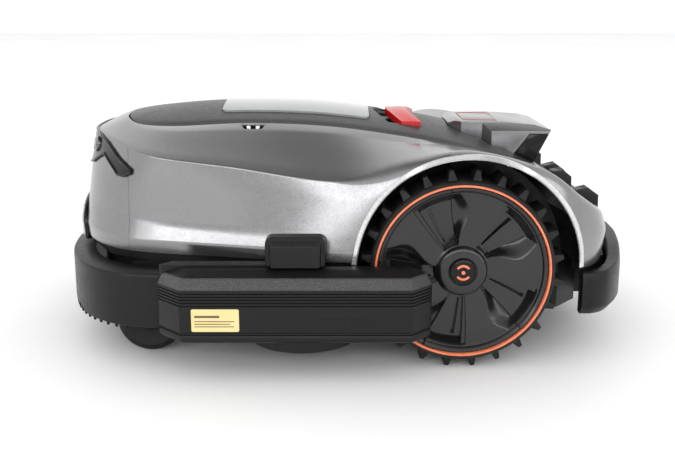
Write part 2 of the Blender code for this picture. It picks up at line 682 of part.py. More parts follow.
def chassis_tray():
    """The base: an open tray over a round blade chamber, with a flange under the shell's hem."""
    outline = mirrored([(.308, 0), (.306, .048), (.296, .074), (.284, .092), (.170, .094), (.150, .145),
                        (-.270, .145), (-.300, .110), (-.302, 0)])
    tray = plate("chassis_tray", [outline], CHASSIS_LOW, CHASSIS_TOP, "black_plastic")
    beam = [(-.296, 0), (-.296, .100), (-.3380, .098), (-.3500, .045), (-.3528, 0)]
    join(tray, plate("tail_beam", [mirrored(beam)], 0.056, 0.104))
    hem = [(.322, 0), (.312, .076), (.278, .137), (.226, .170), (.120, .195), (.020, .216), (-.016, .219),
           (-.016, .148), (-.272, .148), (-.272, .205), (-.306, .150), (-.322, .060), (-.323, 0)]
    join(tray, plate("flange", [mirrored(hem)], FLANGE_LOW, FLANGE_TOP))
    pocket = mirrored([(.300, 0), (.299, .046), (.290, .070), (.280, .087), (.166, .090), (.147, .140),
                       (-.262, .140), (-.262, 0)])
    cut(tray, plate("pocket", [pocket], FLOOR, 0.14))
    for front, rear, half in ((.280, .164, .083), (-.172, -.262, .138)):
        cut(tray, box("bay", (rear, -half, BAY_FLOOR), (front, half, FLOOR + 0.01)))
    cut(tray, rod("chamber", CHAMBER_R, (CHAMBER_X, 0, 0.03), (CHAMBER_X, 0, CHAMBER_TOP), segments=48))
    cut(tray, rod("motor_hole", MOTOR_R + 0.004, (CHAMBER_X, 0, 0.08), (CHAMBER_X, 0, 0.10), segments=32))
    for side in (1, -1):
        low, high = sorted((side * 0.090, side * 0.176))
        join(tray, box("caster_arm", (CASTER_X - 0.027, low, 0.104), (CASTER_X + 0.027, high, 0.1175)))
        stem = (CASTER_X, side * CASTER_Y)
        cut(tray, rod("stem_hole", STEM_R + 0.0006, (*stem, 0.09), (*stem, 0.14), segments=24))
        near, far = sorted((side * 0.130, side * 0.155))
        cut(tray, rod("axle_hole", 0.0085, (WHEEL_X, near, WHEEL_Z), (WHEEL_X, far, WHEEL_Z), segments=24))
        cut(tray, box("axle_slot", (WHEEL_X - 0.0085, near, WHEEL_Z), (WHEEL_X + 0.0085, far, WHEEL_Z + 0.02)))
    for side in (1, -1):
        near, far = sorted((side * 0.1425, side * 0.1475))
        liner = side_profile("arch_liner", [*arc(ARCH_X, ARCH_Z, LINER_R, 0, 180, 24), (ARCH_X - LINER_R, 0.1165),
                                            (ARCH_X + LINER_R, 0.1165)], 0.0025)
        liner.location.y = (near + far) / 2
        join(tray, liner)
        cut(tray, rod("liner_hole", 0.0085, (WHEEL_X, near - .01, WHEEL_Z), (WHEEL_X, far + .01, WHEEL_Z), segments=24))
    join(tray, box("trimmer_arm", (TRIM_X - 0.022, 0.142, 0.104), (TRIM_X + 0.034, TRIM_BACK - GAP, 0.1175)))


def innards():
    box("battery_pack", (.166, -.080, BAY_FLOOR + GAP), (.278, .080, .130), "battery_blue", 0.003)
    box("control_board", (-.255, -.080, BAY_FLOOR + GAP), (-.185, .080, BAY_FLOOR + .010), "dark_grey", 0.001)
    for side_name, side in SIDES.items():
        rod("drive_motor_" + side_name, 0.0225, (WHEEL_X, side * 0.066, WHEEL_Z), (WHEEL_X, side * 0.1390, WHEEL_Z),
            "steel", 32)


# ---------------------------------------------------------------- drive wheels
def facing(side):
    """Turns local +Z to the machine's left or right."""
    return (-side * math.pi / 2, 0, 0)


def window_outline(index, grow=0.0):
    """One swept window of the rim, in the wheel's plane."""
    turn = 360 / WINDOWS * index + 292
    points = [(0.034, -8), (0.040, 20), (0.078, 27), (0.086, 18), (0.087, -10), (0.062, -14)]
    return [((r + grow) * Vector((math.cos(math.radians(turn + a)), math.sin(math.radians(turn + a)))))[:]
            for r, a in points]


def rim_mesh():
    """Rim standing on its inner side: a barrel, a dished face with five recessed windows and a raised hub."""
    profile = [(0.0068, 0.0630), (0.0262, 0.0620), (0.0290, 0.0560), (0.0860, 0.0585), (RIM_R, 0.0630),
               (RIM_R, 0.0040), (0.0900, 0.0040), (0.0860, 0.0340), (0.0068, 0.0340)]
    rim = turned("rim", profile, (0, 0, 0), (0, 0, 1), "dark_grey", 36)
    for i in range(WINDOWS):
        cut(rim, plate("rim_window", [window_outline(i)], 0.0440, 0.0800))
    return as_mesh(rim)


def tyre_mesh():
    """Tyre with a rebate for the coloured ring and tapered lugs all round."""
    profile = [(RIM_R + GAP, 0.0580), (RIM_R + GAP, 0.0010), (TYRE_R, 0.0020), (TYRE_R, 0.0620), (0.1018, WHEEL_W),
               (0.1018, 0.0580)]
    tyre = turned("tyre", list(reversed(profile)), (0, 0, 0), (0, 0, 1), "rubber", 48)
    lugs = bmesh.new()
    for i in range(LUGS):
        spin = Matrix.Rotation(math.tau * i / LUGS, 4, "Z")
        lug = []
        for r, half, low, high in ((TYRE_R - 0.003, 0.0062, 0.004, 0.061), (LUG_R, 0.0030, 0.013, 0.056)):
            lug.append([lugs.verts.new(spin @ Vector((r, s * half, z))) for s, z in
                        ((-1, low), (1, low), (1, high), (-1, high))])
        foot, tip = lug
        lugs.faces.new(foot)
        lugs.faces.new(reversed(tip))
        for k in range(4):
            lugs.faces.new((foot[k - 1], foot[k], tip[k], tip[k - 1]))
    join(tyre, from_bmesh("lugs", lugs, None, CUTTERS))
    return as_mesh(tyre)


def drive_wheels():
    rim, tyre = rim_mesh(), tyre_mesh()
    ring = turned("ring", [(RIM_R + GAP, .0655), (.1012, .0655), (.1012, .0584), (RIM_R + GAP, .0584)], (0, 0, 0),
                  (0, 0, 1), "copper_accent", 36)
    hub_cap = rod("hub_cap", 0.0150, (0, 0, 0.0634), (0, 0, 0.0666), "gloss_black", 32, radius_end=0.0140)
    axle = rod("axle", AXLE_R, (0, 0, -0.0200), (0, 0, 0.0620), "steel", 24)
    for piece in (ring, hub_cap, axle):
        piece.data.materials.clear()
    pieces = {"rim": (rim, "dark_grey"), "tyre": (tyre, "rubber"), "accent_ring": (as_mesh(ring), "copper_accent"),
              "hub_cap": (as_mesh(hub_cap), "gloss_black"), "axle": (as_mesh(axle), "steel")}
    for name, (pattern, finish) in pieces.items():
        pattern.data.transform(pattern.matrix_basis)
        pattern.data.materials.clear()
        pattern.data.materials.append(MATERIALS[finish])
        for side_name, side in SIDES.items():
            piece = bpy.data.objects.new("{}_{}".format(name, side_name), pattern.data)
            MODEL.objects.link(piece)
            piece.parent = FRAME
            piece.location = (WHEEL_X, side * WHEEL_IN, WHEEL_Z)
            piece.rotation_euler = facing(side)
        bpy.data.objects.remove(pattern)


# ---------------------------------------------------------------- casters
def casters():
    wheel_x = CASTER_X + CASTER_TRAIL
    tread = [(0.0040, .0140), (.0350, .0140), (.0395, .0105), (CASTER_R, .0050), (CASTER_R, -.0050),
             (.0395, -.0105), (.0350, -.0140), (0.0040, -.0140)]
    for side_name, side in SIDES.items():
        y = side * CASTER_Y
        fork = rod("caster_fork_" + side_name, STEM_R, (CASTER_X, y, 0.088), (CASTER_X, y, 0.127), "black_plastic", 24)
        join(fork, box("crown", (CASTER_X - .012, y - .0200, .0870), (wheel_x + .012, y + .0200, .0940)))
        for offset in (-1, 1):
            low, high = sorted((y + offset * 0.0160, y + offset * 0.0200))
            leg = box("leg", (wheel_x - .009, low, .0330), (wheel_x + .009, high, .0900))
            join(fork, leg)
            cut(fork, rod("pin_hole", 0.0034, (wheel_x, low - .002, CASTER_R), (wheel_x, high + .002, CASTER_R),
                          segments=16))
        turned("caster_wheel_" + side_name, tread, (wheel_x, y, CASTER_R), (0, 1, 0), "rubber", 28)
        rod("caster_axle_" + side_name, 0.0030, (wheel_x, y - .0205, CASTER_R), (wheel_x, y + .0205, CASTER_R),
            "steel", 16)


# ---------------------------------------------------------------- cutting deck
def blade_outline(stud=0.0028):
    half, length = BLADE_WIDTH / 2, BLADE_LENGTH
    body = [(-.009, -half + .003), (-.006, -half), (length - .006, -half), (length - .003, -half + .003),
            (length - .003, half - .003), (length - .006, half), (-.006, half), (-.009, half - .003)]
    return [body, circle(0, 0, stud, 16)]


def cutting_deck():
    """Motor on a carriage that a screw raises, with the blade disc, its three swinging blades and the skid plate."""
    x, z = CHAMBER_X, DISC_Z
    rod("blade_motor", MOTOR_R, (x, 0, z + .0060), (x, 0, CARRIAGE_Z + .008), "steel", 32)
    bore = circle(x, 0, MOTOR_R + GAP, 32)
    screw_bore = circle(SCREW_X, 0, SCREW_R + GAP, 24)
    frame = rounded([(-.018, -.040), (.102, -.040), (.102, .040), (-.018, .040)], 0.012)
    plate("lift_carriage", [frame, bore, screw_bore], CARRIAGE_Z, CARRIAGE_Z + .006, "dark_grey")
    rod("lift_screw", SCREW_R, (SCREW_X, 0, FLOOR + GAP), (SCREW_X, 0, .158), "steel", 24)
    disc = turned("blade_disc", [(.0060, z + .0050), (.0120, z + .0050), (.0160, z + .0015), (DISC_R, z + .0015),
                                 (DISC_R, z - .0015), (.0060, z - .0015)], (x, 0, 0), (0, 0, 1), "dark_grey", 36)
    for i in range(BLADES):
        turn = math.tau * i / BLADES
        stud = (x + STUD_RING * math.cos(turn), STUD_RING * math.sin(turn))
        join(disc, rod("blade_stud", 0.0024, (*stud, z - .0050), (*stud, z), segments=16))
        blade = plate("cutting_blade_{}".format(i + 1), blade_outline(), -BLADE_T / 2, BLADE_T / 2, "steel")
        blade.location = (*stud, z - .0030)
        blade.rotation_euler.z = turn
    saucer = [(0, z - .0056), (SKID_R - .006, z - .0056), (SKID_R, z - .0072), (SKID_R - .004, z - .0100),
              (0, z - .0120)]
    skid = turned("skid_plate", saucer, (x, 0, 0), (0, 0, 1), "black_plastic", 28)
    join(skid, rod("skid_stem", 0.0054, (x, 0, z - .0070), (x, 0, z + .0056), segments=24))


# ---------------------------------------------------------------- edge trimmer
def trimmer():
    """Black box along the left side, with a cutter disc in a round guard under it."""
    face, back = TRIM_FACE, TRIM_BACK

    def section(inset, z):
        outline = [(-.083, face), (.174, face), (.203, face - .030), (.203, back), (-.106, back), (-.106, face - .024)]
        middle, half_length = (.0485, back), .1545
        found = []
        for x, y in rounded(outline, 0.002, 2):
            shrink = 1 - inset / half_length
            found.append((middle[0] + (x - middle[0]) * shrink, min(y, face - inset) if y > back + .001 else y, z))
        return found

    housing = loft("trimmer_housing", [section(.0, TRIM_LOW), section(.0, TRIM_SHOULDER - .001),
                                       section(.0007, TRIM_SHOULDER),
                                       section(.0060, TRIM_SLOPE), section(.0170, TRIM_TOP)], "black_plastic")
    strip = rounded([(-.085, face - .002), (.174, face - .002), (.202, face - .031), (.202, back + .001),
                     (-.105, back + .001), (-.105, face - .025)], 0.0015, 2)
    shelf = [(.060, back + .0010), (.060, SHELF_BACK), (.188, SHELF_BACK), (.2015, back + .0010)]
    join(housing, plate("shelf", [shelf], SHELF_LOW, SHELF_TOP))
    base = plate("trimmer_base", [strip], BASE_LOW, BASE_TOP, "black_plastic")
    join(base, plate("guard", [circle(TRIM_X, TRIM_Y, TRIM_REACH + .008, 40)], GUARD_LOW, BASE_LOW + .001))
    cut(base, rod("guard_well", TRIM_REACH + .003, (TRIM_X, TRIM_Y, .02), (TRIM_X, TRIM_Y, .07), segments=40))
    box("trimmer_bracket", (.0135, .2300, SHELF_TOP + GAP), (.0805, .2520, .1645), "black_plastic", 0.004)
    rod("trimmer_motor", 0.0240, (TRIM_X, TRIM_Y, .0524), (TRIM_X, TRIM_Y, .1036), "steel", 32)
    disc = rod("trimmer_disc", TRIM_DISC_R, (TRIM_X, TRIM_Y, .0440), (TRIM_X, TRIM_Y, .0465), "dark_grey", 32)
    join(disc, rod("disc_hub", 0.008, (TRIM_X, TRIM_Y, .0450), (TRIM_X, TRIM_Y, .0518), segments=24))
    for i in range(2):
        turn = math.pi * i
        stud = (TRIM_X + TRIM_STUD * math.cos(turn), TRIM_Y + TRIM_STUD * math.sin(turn))
        join(disc, rod("trimmer_stud", 0.0020, (*stud, .0400), (*stud, .0450), segments=16))
        outline = [(-.006, -.006), (.0235, -.006), (.0265, -.003), (.0265, .003), (.0235, .006), (-.006, .006)]
        blade = plate("trimmer_blade_{}".format(i + 1), [outline, circle(0, 0, .0024, 16)], -.0005, .0005, "steel")
        blade.location = (*stud, .0425)
        blade.rotation_euler.z = turn


def smooth_round_pieces():
    for obj in MODEL.objects:
        if obj.type == "MESH":
            obj.data.shade_smooth()
            obj.data.set_sharp_from_angle(angle=math.radians(35))


top_shell()
deck_panel()
louvres()
control_lid()
keypad()
stop_button()
rear_module()
camera_bezel()
nose_panel()
rain_sensor()
front_bumper()
rear_bumper()
chassis_tray()
innards()
drive_wheels()
casters()
cutting_deck()
trimmer()
smooth_round_pieces()
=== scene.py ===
"""Looks of the robotic lawn mower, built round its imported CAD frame. Metres; +X front, +Y left, +Z up."""
import math

import bmesh
import bpy
from mathutils import Matrix, Vector
from mathutils.bvhtree import BVHTree


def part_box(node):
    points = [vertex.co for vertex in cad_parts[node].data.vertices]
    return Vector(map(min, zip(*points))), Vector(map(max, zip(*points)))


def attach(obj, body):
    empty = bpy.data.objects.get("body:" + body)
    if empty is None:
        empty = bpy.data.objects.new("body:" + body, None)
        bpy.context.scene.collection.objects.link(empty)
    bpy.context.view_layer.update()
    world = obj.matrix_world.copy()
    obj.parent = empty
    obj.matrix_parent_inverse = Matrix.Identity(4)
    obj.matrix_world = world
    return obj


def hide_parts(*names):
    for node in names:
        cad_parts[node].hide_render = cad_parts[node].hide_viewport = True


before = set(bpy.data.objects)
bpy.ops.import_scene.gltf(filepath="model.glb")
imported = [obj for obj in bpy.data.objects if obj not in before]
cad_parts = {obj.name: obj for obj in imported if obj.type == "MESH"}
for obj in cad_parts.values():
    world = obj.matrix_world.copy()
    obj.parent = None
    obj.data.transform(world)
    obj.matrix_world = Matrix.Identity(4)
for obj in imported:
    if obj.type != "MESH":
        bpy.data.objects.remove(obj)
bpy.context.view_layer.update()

ORIGIN = Vector((.01325, -.0196, 0))  # middle plane and wheelbase datum, as in the CAD
SIDES = {"left": 1, "right": -1}
WHEEL_X, WHEEL_Z, WHEEL_IN, WHEEL_W = -.143, .1175, .16, .065
LUG_R, TYRE_R, RIM_R, LUGS, WINDOWS = .1175, .106, .098, 24, 5
ARCH_X, ARCH_Z, ARCH_R = -.15, .118, .129
LID_REAR, LID_FRONT, LID_HALF = -.04, .145, .0725
STOP_REAR, STOP_FRONT, STOP_HALF = -.089, -.063, .072
STOP_SWEEP = .017  # the paddle's ends sweep back this far
LOUVRE_HALF, LOUVRE_GAP = .1, .0012

# --- body form, the same rings as the CAD
HEM = [(.329, 0, .13), (.319, .08, .13), (.284, .143, .13), (.231, .179, .13), (.125, .204, .13),
       (.02, .225, .13), (-.06, .231, .13), (-.15, .232, .13), (-.235, .23, .128), (-.284, .205, .1175),
       (-.322, .14, .116), (-.333, 0, .115)]
BAND_LOW = [(.33, 0, .146), (.32, .081, .146), (.285, .1445, .1455), (.232, .181, .145),
            (.126, .206, .144), (.02, .227, .143), (-.06, .232, .143), (-.15, .233, .144),
            (-.236, .231, .142), (-.286, .206, .137), (-.324, .141, .133), (-.335, 0, .133)]
BAND_HIGH = [(.327, 0, .17), (.3165, .079, .169), (.279, .139, .168), (.228, .174, .1665),
             (.124, .2003, .162), (.02, .2229, .157), (-.06, .231, .156), (-.15, .233, .158),
             (-.236, .23, .16), (-.287, .204, .158), (-.327, .14, .15), (-.3365, 0, .149)]
CREASE = [(.314, 0, .258), (.303, .066, .2585), (.262, .135, .255), (.213, .18, .244), (.12, .197, .2343),
          (-.005, .2085, .22), (-.085, .2195, .243), (-.15, .225, .2565), (-.232, .219, .2365),
          (-.282, .2, .2), (-.32, .14, .172), (-.33, 0, .168)]
STRIP = [(.285, 0, .2725), (.276, .06, .271), (.25, .1, .268), (.205, .125, .2665), (.115, .128, .2675),
         (.015, .128, .2645), (-.075, .13, .253), (-.15, .134, .248), (-.212, .135, .232),
         (-.248, .13, .214), (-.264, .104, .206), (-.268, 0, .2045)]
DECK_EDGE = [(.272, 0, .2765), (.266, .055, .275), (.242, .092, .2705), (.195, .107, .27),
             (.105, .11, .274), (.01, .11, .27), (-.08, .111, .258), (-.15, .112, .2445),
             (-.205, .112, .23), (-.238, .105, .2195), (-.252, .082, .215), (-.256, 0, .215)]
CROWN = [(.272, .2765), (.235, .2825), (.19, .2875), (.14, .29), (.06, .2895), (.01, .2865), (-.045, .28),
         (-.1, .2725), (-.15, .262), (-.2, .246), (-.235, .227), (-.256, .215)]
STEPS = 12  # samples between two stations


def spline(points, steps):
    """Catmull-Rom through the points, with steps samples for each stretch."""
    pts = [Vector(p) for p in points]
    ends = [pts[0] * 2 - pts[1], *pts, pts[-1] * 2 - pts[-2]]
    found = []
    for a, b, c, d in zip(ends, ends[1:], ends[2:], ends[3:]):
        for i in range(steps):
            t = i / steps
            found.append(b + (c - a) * (t / 2) + (2 * a - 5 * b + 4 * c - d) * (t * t / 2)
                         + (3 * b - a - 3 * c + d) * (t ** 3 / 2))
    return [*found, pts[-1]]


def across(points):
    """The points mirrored to the machine's other side."""
    return [Vector((p[0], -p[1], p[2])) for p in points]


def half_ring(points, steps=STEPS):
    other = across(points)
    return spline([other[1], *points, other[-2]], steps)[steps:-steps]


def along(table, x):
    """Straight-line reading of a table whose first column rises or falls."""
    for (x0, z0), (x1, z1) in zip(table, table[1:]):
        if min(x0, x1) <= x <= max(x0, x1):
            return z0 + (z1 - z0) * (x - x0) / (x1 - x0)
    return table[-1][1] if abs(x - table[-1][0]) < abs(x - table[0][0]) else table[0][1]


CROWN_FINE = [(p.x, p.y) for p in spline([(x, z, 0) for x, z in CROWN], 8)]
EDGE_FINE = [(p.x, p.z) for p in half_ring(DECK_EDGE, 8)]
RINGS = [half_ring(ring) for ring in (HEM, BAND_LOW, BAND_HIGH, CREASE, STRIP, DECK_EDGE)]
MIDDLE = Vector((0, 0, .12))


def deck_z(x, y):
    crown = along(CROWN_FINE, x)
    return crown - (crown - along(EDGE_FINE, x)) * (y / DECK_EDGE[4][1]) ** 2


def smooth_step(low, high, x):
    t = max(0.0, min(1.0, (x - low) / (high - low)))
    return t * t * (3 - 2 * t)


# --- materials
def new_material(name):
    made = bpy.data.materials.new(name)
    made.use_nodes = True
    tree = made.node_tree
    shader = tree.nodes["Principled BSDF"]
    place = tree.nodes.new("ShaderNodeTexCoord").outputs["Object"]
    return made, tree, shader, place


def noise(tree, place, scale, detail=4.0, stretch=None):
    if stretch:
        mapping = tree.nodes.new("ShaderNodeMapping")
        mapping.inputs["Scale"].default_value = stretch
        tree.links.new(place, mapping.inputs["Vector"])
        place = mapping.outputs["Vector"]
    found = tree.nodes.new("ShaderNodeTexNoise")
    found.inputs["Scale"].default_value = scale
    found.inputs["Detail"].default_value = detail
    tree.links.new(place, found.inputs["Vector"])
    return found.outputs["Fac"]


def ramp(tree, source, low, high, at=(.35, .65)):
    """A grey or coloured ramp between two values."""
    found = tree.nodes.new("ShaderNodeValToRGB")
    for element, value, where in zip(found.color_ramp.elements, (low, high), at):
        element.position = where
        element.color = (*value, 1) if isinstance(value, tuple) else (value, value, value, 1)
    tree.links.new(source, found.inputs["Fac"])
    return found.outputs["Color"]


def bump(tree, shader, height, strength, distance):
    found = tree.nodes.new("ShaderNodeBump")
    found.inputs["Strength"].default_value = strength
    found.inputs["Distance"].default_value = distance
    tree.links.new(height, found.inputs["Height"])
    previous = shader.inputs["Normal"].links
    if previous:
        tree.links.new(previous[0].from_socket, found.inputs["Normal"])
    tree.links.new(found.outputs["Normal"], shader.inputs["Normal"])


def surface(name, dark, light, rough, grain=(900, .1, .0002), cloud=9.0, metallic=0.0, coat=0.0,
            coat_rough=.1, stretch=None, specular=.5, scuff=None):
    """A plastic, paint, rubber or metal: cloudy colour, uneven roughness, fine grain, and scuffs if asked."""
    made, tree, shader, place = new_material(name)
    mottled = ramp(tree, noise(tree, place, cloud, 6.0, stretch), dark, light)
    if scuff:
        specks = ramp(tree, noise(tree, place, 60, 12.0), 0.0, 1.0, (.66, .78))
        mix = tree.nodes.new("ShaderNodeMix")
        mix.data_type = "RGBA"
        mix.inputs["B"].default_value = (*scuff, 1)
        tree.links.new(mottled, mix.inputs["A"])
        tree.links.new(specks, mix.inputs["Factor"])
        mottled = mix.outputs["Result"]
    tree.links.new(mottled, shader.inputs["Base Color"])
    patches = noise(tree, place, 120, 8.0, stretch)
    tree.links.new(ramp(tree, patches, *rough), shader.inputs["Roughness"])
    shader.inputs["Metallic"].default_value = metallic
    shader.inputs["Specular IOR Level"].default_value = specular
    shader.inputs["Coat Weight"].default_value = coat
    shader.inputs["Coat Roughness"].default_value = coat_rough
    scale, strength, distance = grain
    if strength:
        bump(tree, shader, noise(tree, place, scale, 3.0, stretch), strength, distance)
    return made


PAINT = surface("silver_paint", (.225, .225, .23), (.285, .285, .29), (.2, .24), (1500, .06, .0001),
                900.0, metallic=.9, coat=.15, coat_rough=.08)
MODULE_PAINT = surface("module_paint", (.21, .21, .215), (.25, .25, .255), (.2, .24), (1800, .035, .0001),
                       1200.0, metallic=.9, coat=.15, coat_rough=.08)
# lighter copy of the silver paint for the arch lips: painted highlight along each arch's edge
LIP_PAINTED_HIGHLIGHT = surface("lip_painted_highlight", (.6, .6, .605), (.68, .68, .685), (.22, .28), (1200, .04, .0001), 300.0,
              metallic=.85)
BLACK = surface("moulded_black", (.0055, .0055, .006), (.0085, .0085, .009), (.34, .42),
                (1500, .22, .0002), 300.0, specular=.24)
# grained black with a lighter speckled colour: the grain is real, the lightness is painted sheen for the
# trimmer's upturned slope
TEXTURED_PAINTED_SHEEN = surface("grained_black_painted_sheen", (.008, .008, .0085), (.085, .085, .087), (.3, .42), (1100, 1.0, .0009),
                   1300.0, specular=.5)
DECK = surface("deck_charcoal", (.026, .026, .027), (.036, .036, .037), (.34, .4), (1300, .2, .0002), 400.0,
               specular=.35)
LID_GLOSS = surface("lid_gloss", (.16, .165, .17), (.19, .195, .2), (.1, .14), (500, .01, .0001), 60.0,
                    coat=1.0, coat_rough=.03, metallic=.2)
PIANO = surface("piano_black", (.003, .003, .0035), (.0045, .0045, .005), (.12, .17), (300, .02, .0001),
                60.0, coat=.12, coat_rough=.05, specular=.2)
RED = surface("stop_red", (.46, .004, .004), (.54, .006, .005), (.24, .3), (700, .05, .0001), 200.0,
              coat=.3, coat_rough=.12, specular=.35)
RUBBER = surface("tyre_rubber", (.008, .008, .008), (.014, .0135, .013), (.5, .66), (700, .4, .0003), 90.0,
                 scuff=(.028, .027, .025), specular=.28)
WHEEL_RUBBER = surface("caster_rubber", (.007, .007, .007), (.012, .012, .0115), (.5, .64),
                       (800, .3, .0002), 90.0, scuff=(.022, .022, .02), specular=.28)
RIM_BLACK = surface("rim_black", (.006, .006, .0065), (.009, .009, .0095), (.2, .25), (1200, .06, .0001),
                    300.0, coat=.25, coat_rough=.12, specular=.45)
COPPER = surface("copper_accent", (.72, .17, .075), (.82, .22, .1), (.28, .4), (900, .08, .0001), 90.0,
                 coat=.3)
STEEL = surface("brushed_steel", (.42, .42, .43), (.56, .56, .57), (.2, .38), (300, .25, .0001), 12.0,
                metallic=1.0, stretch=(1, 1, 12))
CHROME = surface("bright_steel", (.62, .62, .63), (.72, .72, .73), (.08, .16), (400, .04, .0001), 12.0,
                 metallic=1.0)
BOARD = surface("circuit_board", (.01, .06, .028), (.018, .085, .04), (.35, .5), (600, .3, .0003), 40.0)
WRAP = surface("battery_wrap", (.02, .05, .11), (.03, .065, .135), (.3, .42), (500, .1, .0002), 12.0,
               coat=.3)
GLASS = surface("lens_glass", (.008, .008, .014), (.014, .012, .024), (.03, .06), (300, 0.0, .0001), 20.0,
                coat=1.0, coat_rough=.02, specular=.8)
STICKER = surface("plain_sticker", (.72, .57, .25), (.77, .62, .29), (.35, .45), (500, .06, .0001), 20.0)
PRINT = surface("sticker_print", (.1, .08, .05), (.14, .11, .07), (.45, .55), (500, .05, .0001), 20.0)
WHITE = surface("contact_white", (.62, .62, .62), (.7, .7, .7), (.12, .2), (500, .03, .0001), 10.0,
                coat=.6, coat_rough=.05)


# --- mesh helpers
def link(name, mesh, finish=None):
    obj = bpy.data.objects.new(name, mesh)
    bpy.context.scene.collection.objects.link(obj)
    obj.location = ORIGIN
    if finish:
        mesh.materials.append(finish)
    return obj


def from_bmesh(name, bm, finish=None, outward=True):
    if outward:
        bmesh.ops.recalc_face_normals(bm, faces=bm.faces)
    mesh = bpy.data.meshes.new(name)
    bm.to_mesh(mesh)
    bm.free()
    return link(name, mesh, finish)


def grid_faces(bm, rows, around=False, close=False):
    """Quads between rows. around joins each row's end to its start, close the last row to the first."""
    pairs = list(zip(rows, rows[1:])) + ([(rows[-1], rows[0])] if close else [])
    for a, b in pairs:
        for i in range(len(a) if around else len(a) - 1):
            j = (i + 1) % len(a)
            bm.faces.new((a[i], a[j], b[j], b[i]))


def loft(name, loops, finish=None, caps=True):
    bm = bmesh.new()
    rows = [[bm.verts.new(p) for p in loop] for loop in loops]
    grid_faces(bm, rows, around=True)
    if caps:
        bm.faces.new(rows[0])
        bm.faces.new(reversed(rows[-1]))
    return from_bmesh(name, bm, finish)


def lathe(name, profile, finish=None, steps=96):
    """A closed profile of (radius, height) turned about Z."""
    bm = bmesh.new()
    rows = []
    for i in range(steps):
        turn = math.tau * i / steps
        rows.append([bm.verts.new((r * math.cos(turn), r * math.sin(turn), h)) for r, h in profile])
    grid_faces(bm, rows, around=True, close=True)
    bmesh.ops.remove_doubles(bm, verts=bm.verts, dist=1e-6)
    return from_bmesh(name, bm, finish)


def prism(name, outline, low, high, finish=None, axis="Z"):
    """An outline drawn through from low to high: (x, y) along Z, or (x, z) along Y."""
    return loft(name, [[(a, b, level) if axis == "Z" else (a, level, b) for a, b in outline]
                       for level in (low, high)], finish)


def rectangle(left, right, low, high):
    return [(left, low), (right, low), (right, high), (left, high)]


def block(name, low, high, finish=None):
    return prism(name, rectangle(low[0], high[0], low[1], high[1]), low[2], high[2], finish)


def sheet(name, rows, finish, measure, close=False):
    """An open surface through rows of points, its faces turned the way that measure calls positive."""
    bm = bmesh.new()
    grid_faces(bm, [[bm.verts.new(p) for p in row] for row in rows], close=close)
    turn_faces(bm, measure)
    return from_bmesh(name, bm, finish, outward=False)


def turn_faces(bm, measure):
    bmesh.ops.recalc_face_normals(bm, faces=bm.faces)
    if sum(measure(face) for face in bm.faces) < 0:
        bmesh.ops.reverse_faces(bm, faces=bm.faces)


def ahead(face):
    return face.normal.x * face.calc_area()


def upward(face):
    return face.normal.z * face.calc_area()


def outward(face):
    return (face.calc_center_median() - MIDDLE).dot(face.normal) * face.calc_area()


def moved(obj, matrix):
    obj.data.transform(matrix)
    return obj


def on_side(side, near, far):
    """A pair of distances from the middle plane, in rising order on either side."""
    return sorted((side * near, side * far))


def local_box(node):
    """The corners of a CAD node's box, from the machine's datum."""
    return [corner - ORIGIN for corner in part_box(node)]


def disc(name, radius, start, end, finish=None, segments=64):
    """A round bar between two points."""
    start, end = Vector(start), Vector(end)
    bm = bmesh.new()
    bmesh.ops.create_cone(bm, cap_ends=True, segments=segments, radius1=radius, radius2=radius,
                          depth=(end - start).length)
    turn = (end - start).to_track_quat("Z", "Y").to_matrix().to_4x4()
    bmesh.ops.transform(bm, matrix=Matrix.Translation((start + end) / 2) @ turn, verts=bm.verts)
    return from_bmesh(name, bm, finish)


def soften(obj, width, segments=3, angle=30):
    step = obj.modifiers.new("edges", "BEVEL")
    step.width, step.segments = width, segments
    step.limit_method, step.angle_limit = "ANGLE", math.radians(angle)
    step.harden_normals = False
    return obj


def wall(obj, thickness, offset=-1):
    step = obj.modifiers.new("wall", "SOLIDIFY")
    step.thickness, step.offset = thickness, offset
    return obj


def combine(obj, others, operation="DIFFERENCE"):
    for other in others:
        step = obj.modifiers.new("combine", "BOOLEAN")
        step.operation, step.solver, step.object = operation, "EXACT", other
    bake(obj)
    for other in others:
        bpy.data.objects.remove(other)
    return obj


def bake(obj, sharp=None):
    """Applies the modifiers, and optionally sets which edges stay sharp."""
    bpy.context.view_layer.update()
    graph = bpy.context.evaluated_depsgraph_get()
    mesh = bpy.data.meshes.new_from_object(obj.evaluated_get(graph))
    obj.modifiers.clear()
    obj.data = mesh
    if sharp is not None:
        mesh.shade_smooth()
        mesh.set_sharp_from_angle(angle=math.radians(sharp))
    return obj


def merge(name, objs, finish=None):
    """Several objects' meshes as one object."""
    bm = bmesh.new()
    for obj in objs:
        bake(obj)
        mesh = obj.data
        mesh.transform(Matrix.Translation(-ORIGIN) @ obj.matrix_world)
        bm.from_mesh(mesh)
        bpy.data.objects.remove(obj)
    return from_bmesh(name, bm, finish, outward=False)


def show(obj, body, slot, *nodes, sharp=32):
    """Hands a piece to the frame: its body and the CAD nodes that it stands for, which it hides; slot is not
    used.
    """
    bake(obj, sharp)
    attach(obj, body)
    if nodes:
        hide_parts(*nodes)
    return obj


def curve_corner(before, here, after, reach_in, reach_out, steps):
    """Points of a corner rounded from reach_in before it to reach_out after it."""
    start = here + (before - here).normalized() * reach_in
    end = here + (after - here).normalized() * reach_out
    shares = [k / steps for k in range(steps + 1)]
    return [start * (1 - t) ** 2 + here * (2 * t * (1 - t)) + end * t * t for t in shares]


def fillet(points, radii):
    """The line with each inner point rounded by its own radius; the ends stay."""
    points = [Vector(p) for p in points]
    found = [points[0]]
    for before, here, after, radius in zip(points, points[1:], points[2:], radii[1:]):
        reaches = [min(radius, (other - here).length * .45) for other in (before, after)]
        found += curve_corner(before, here, after, *reaches, 4)
    return [*found, points[-1]]


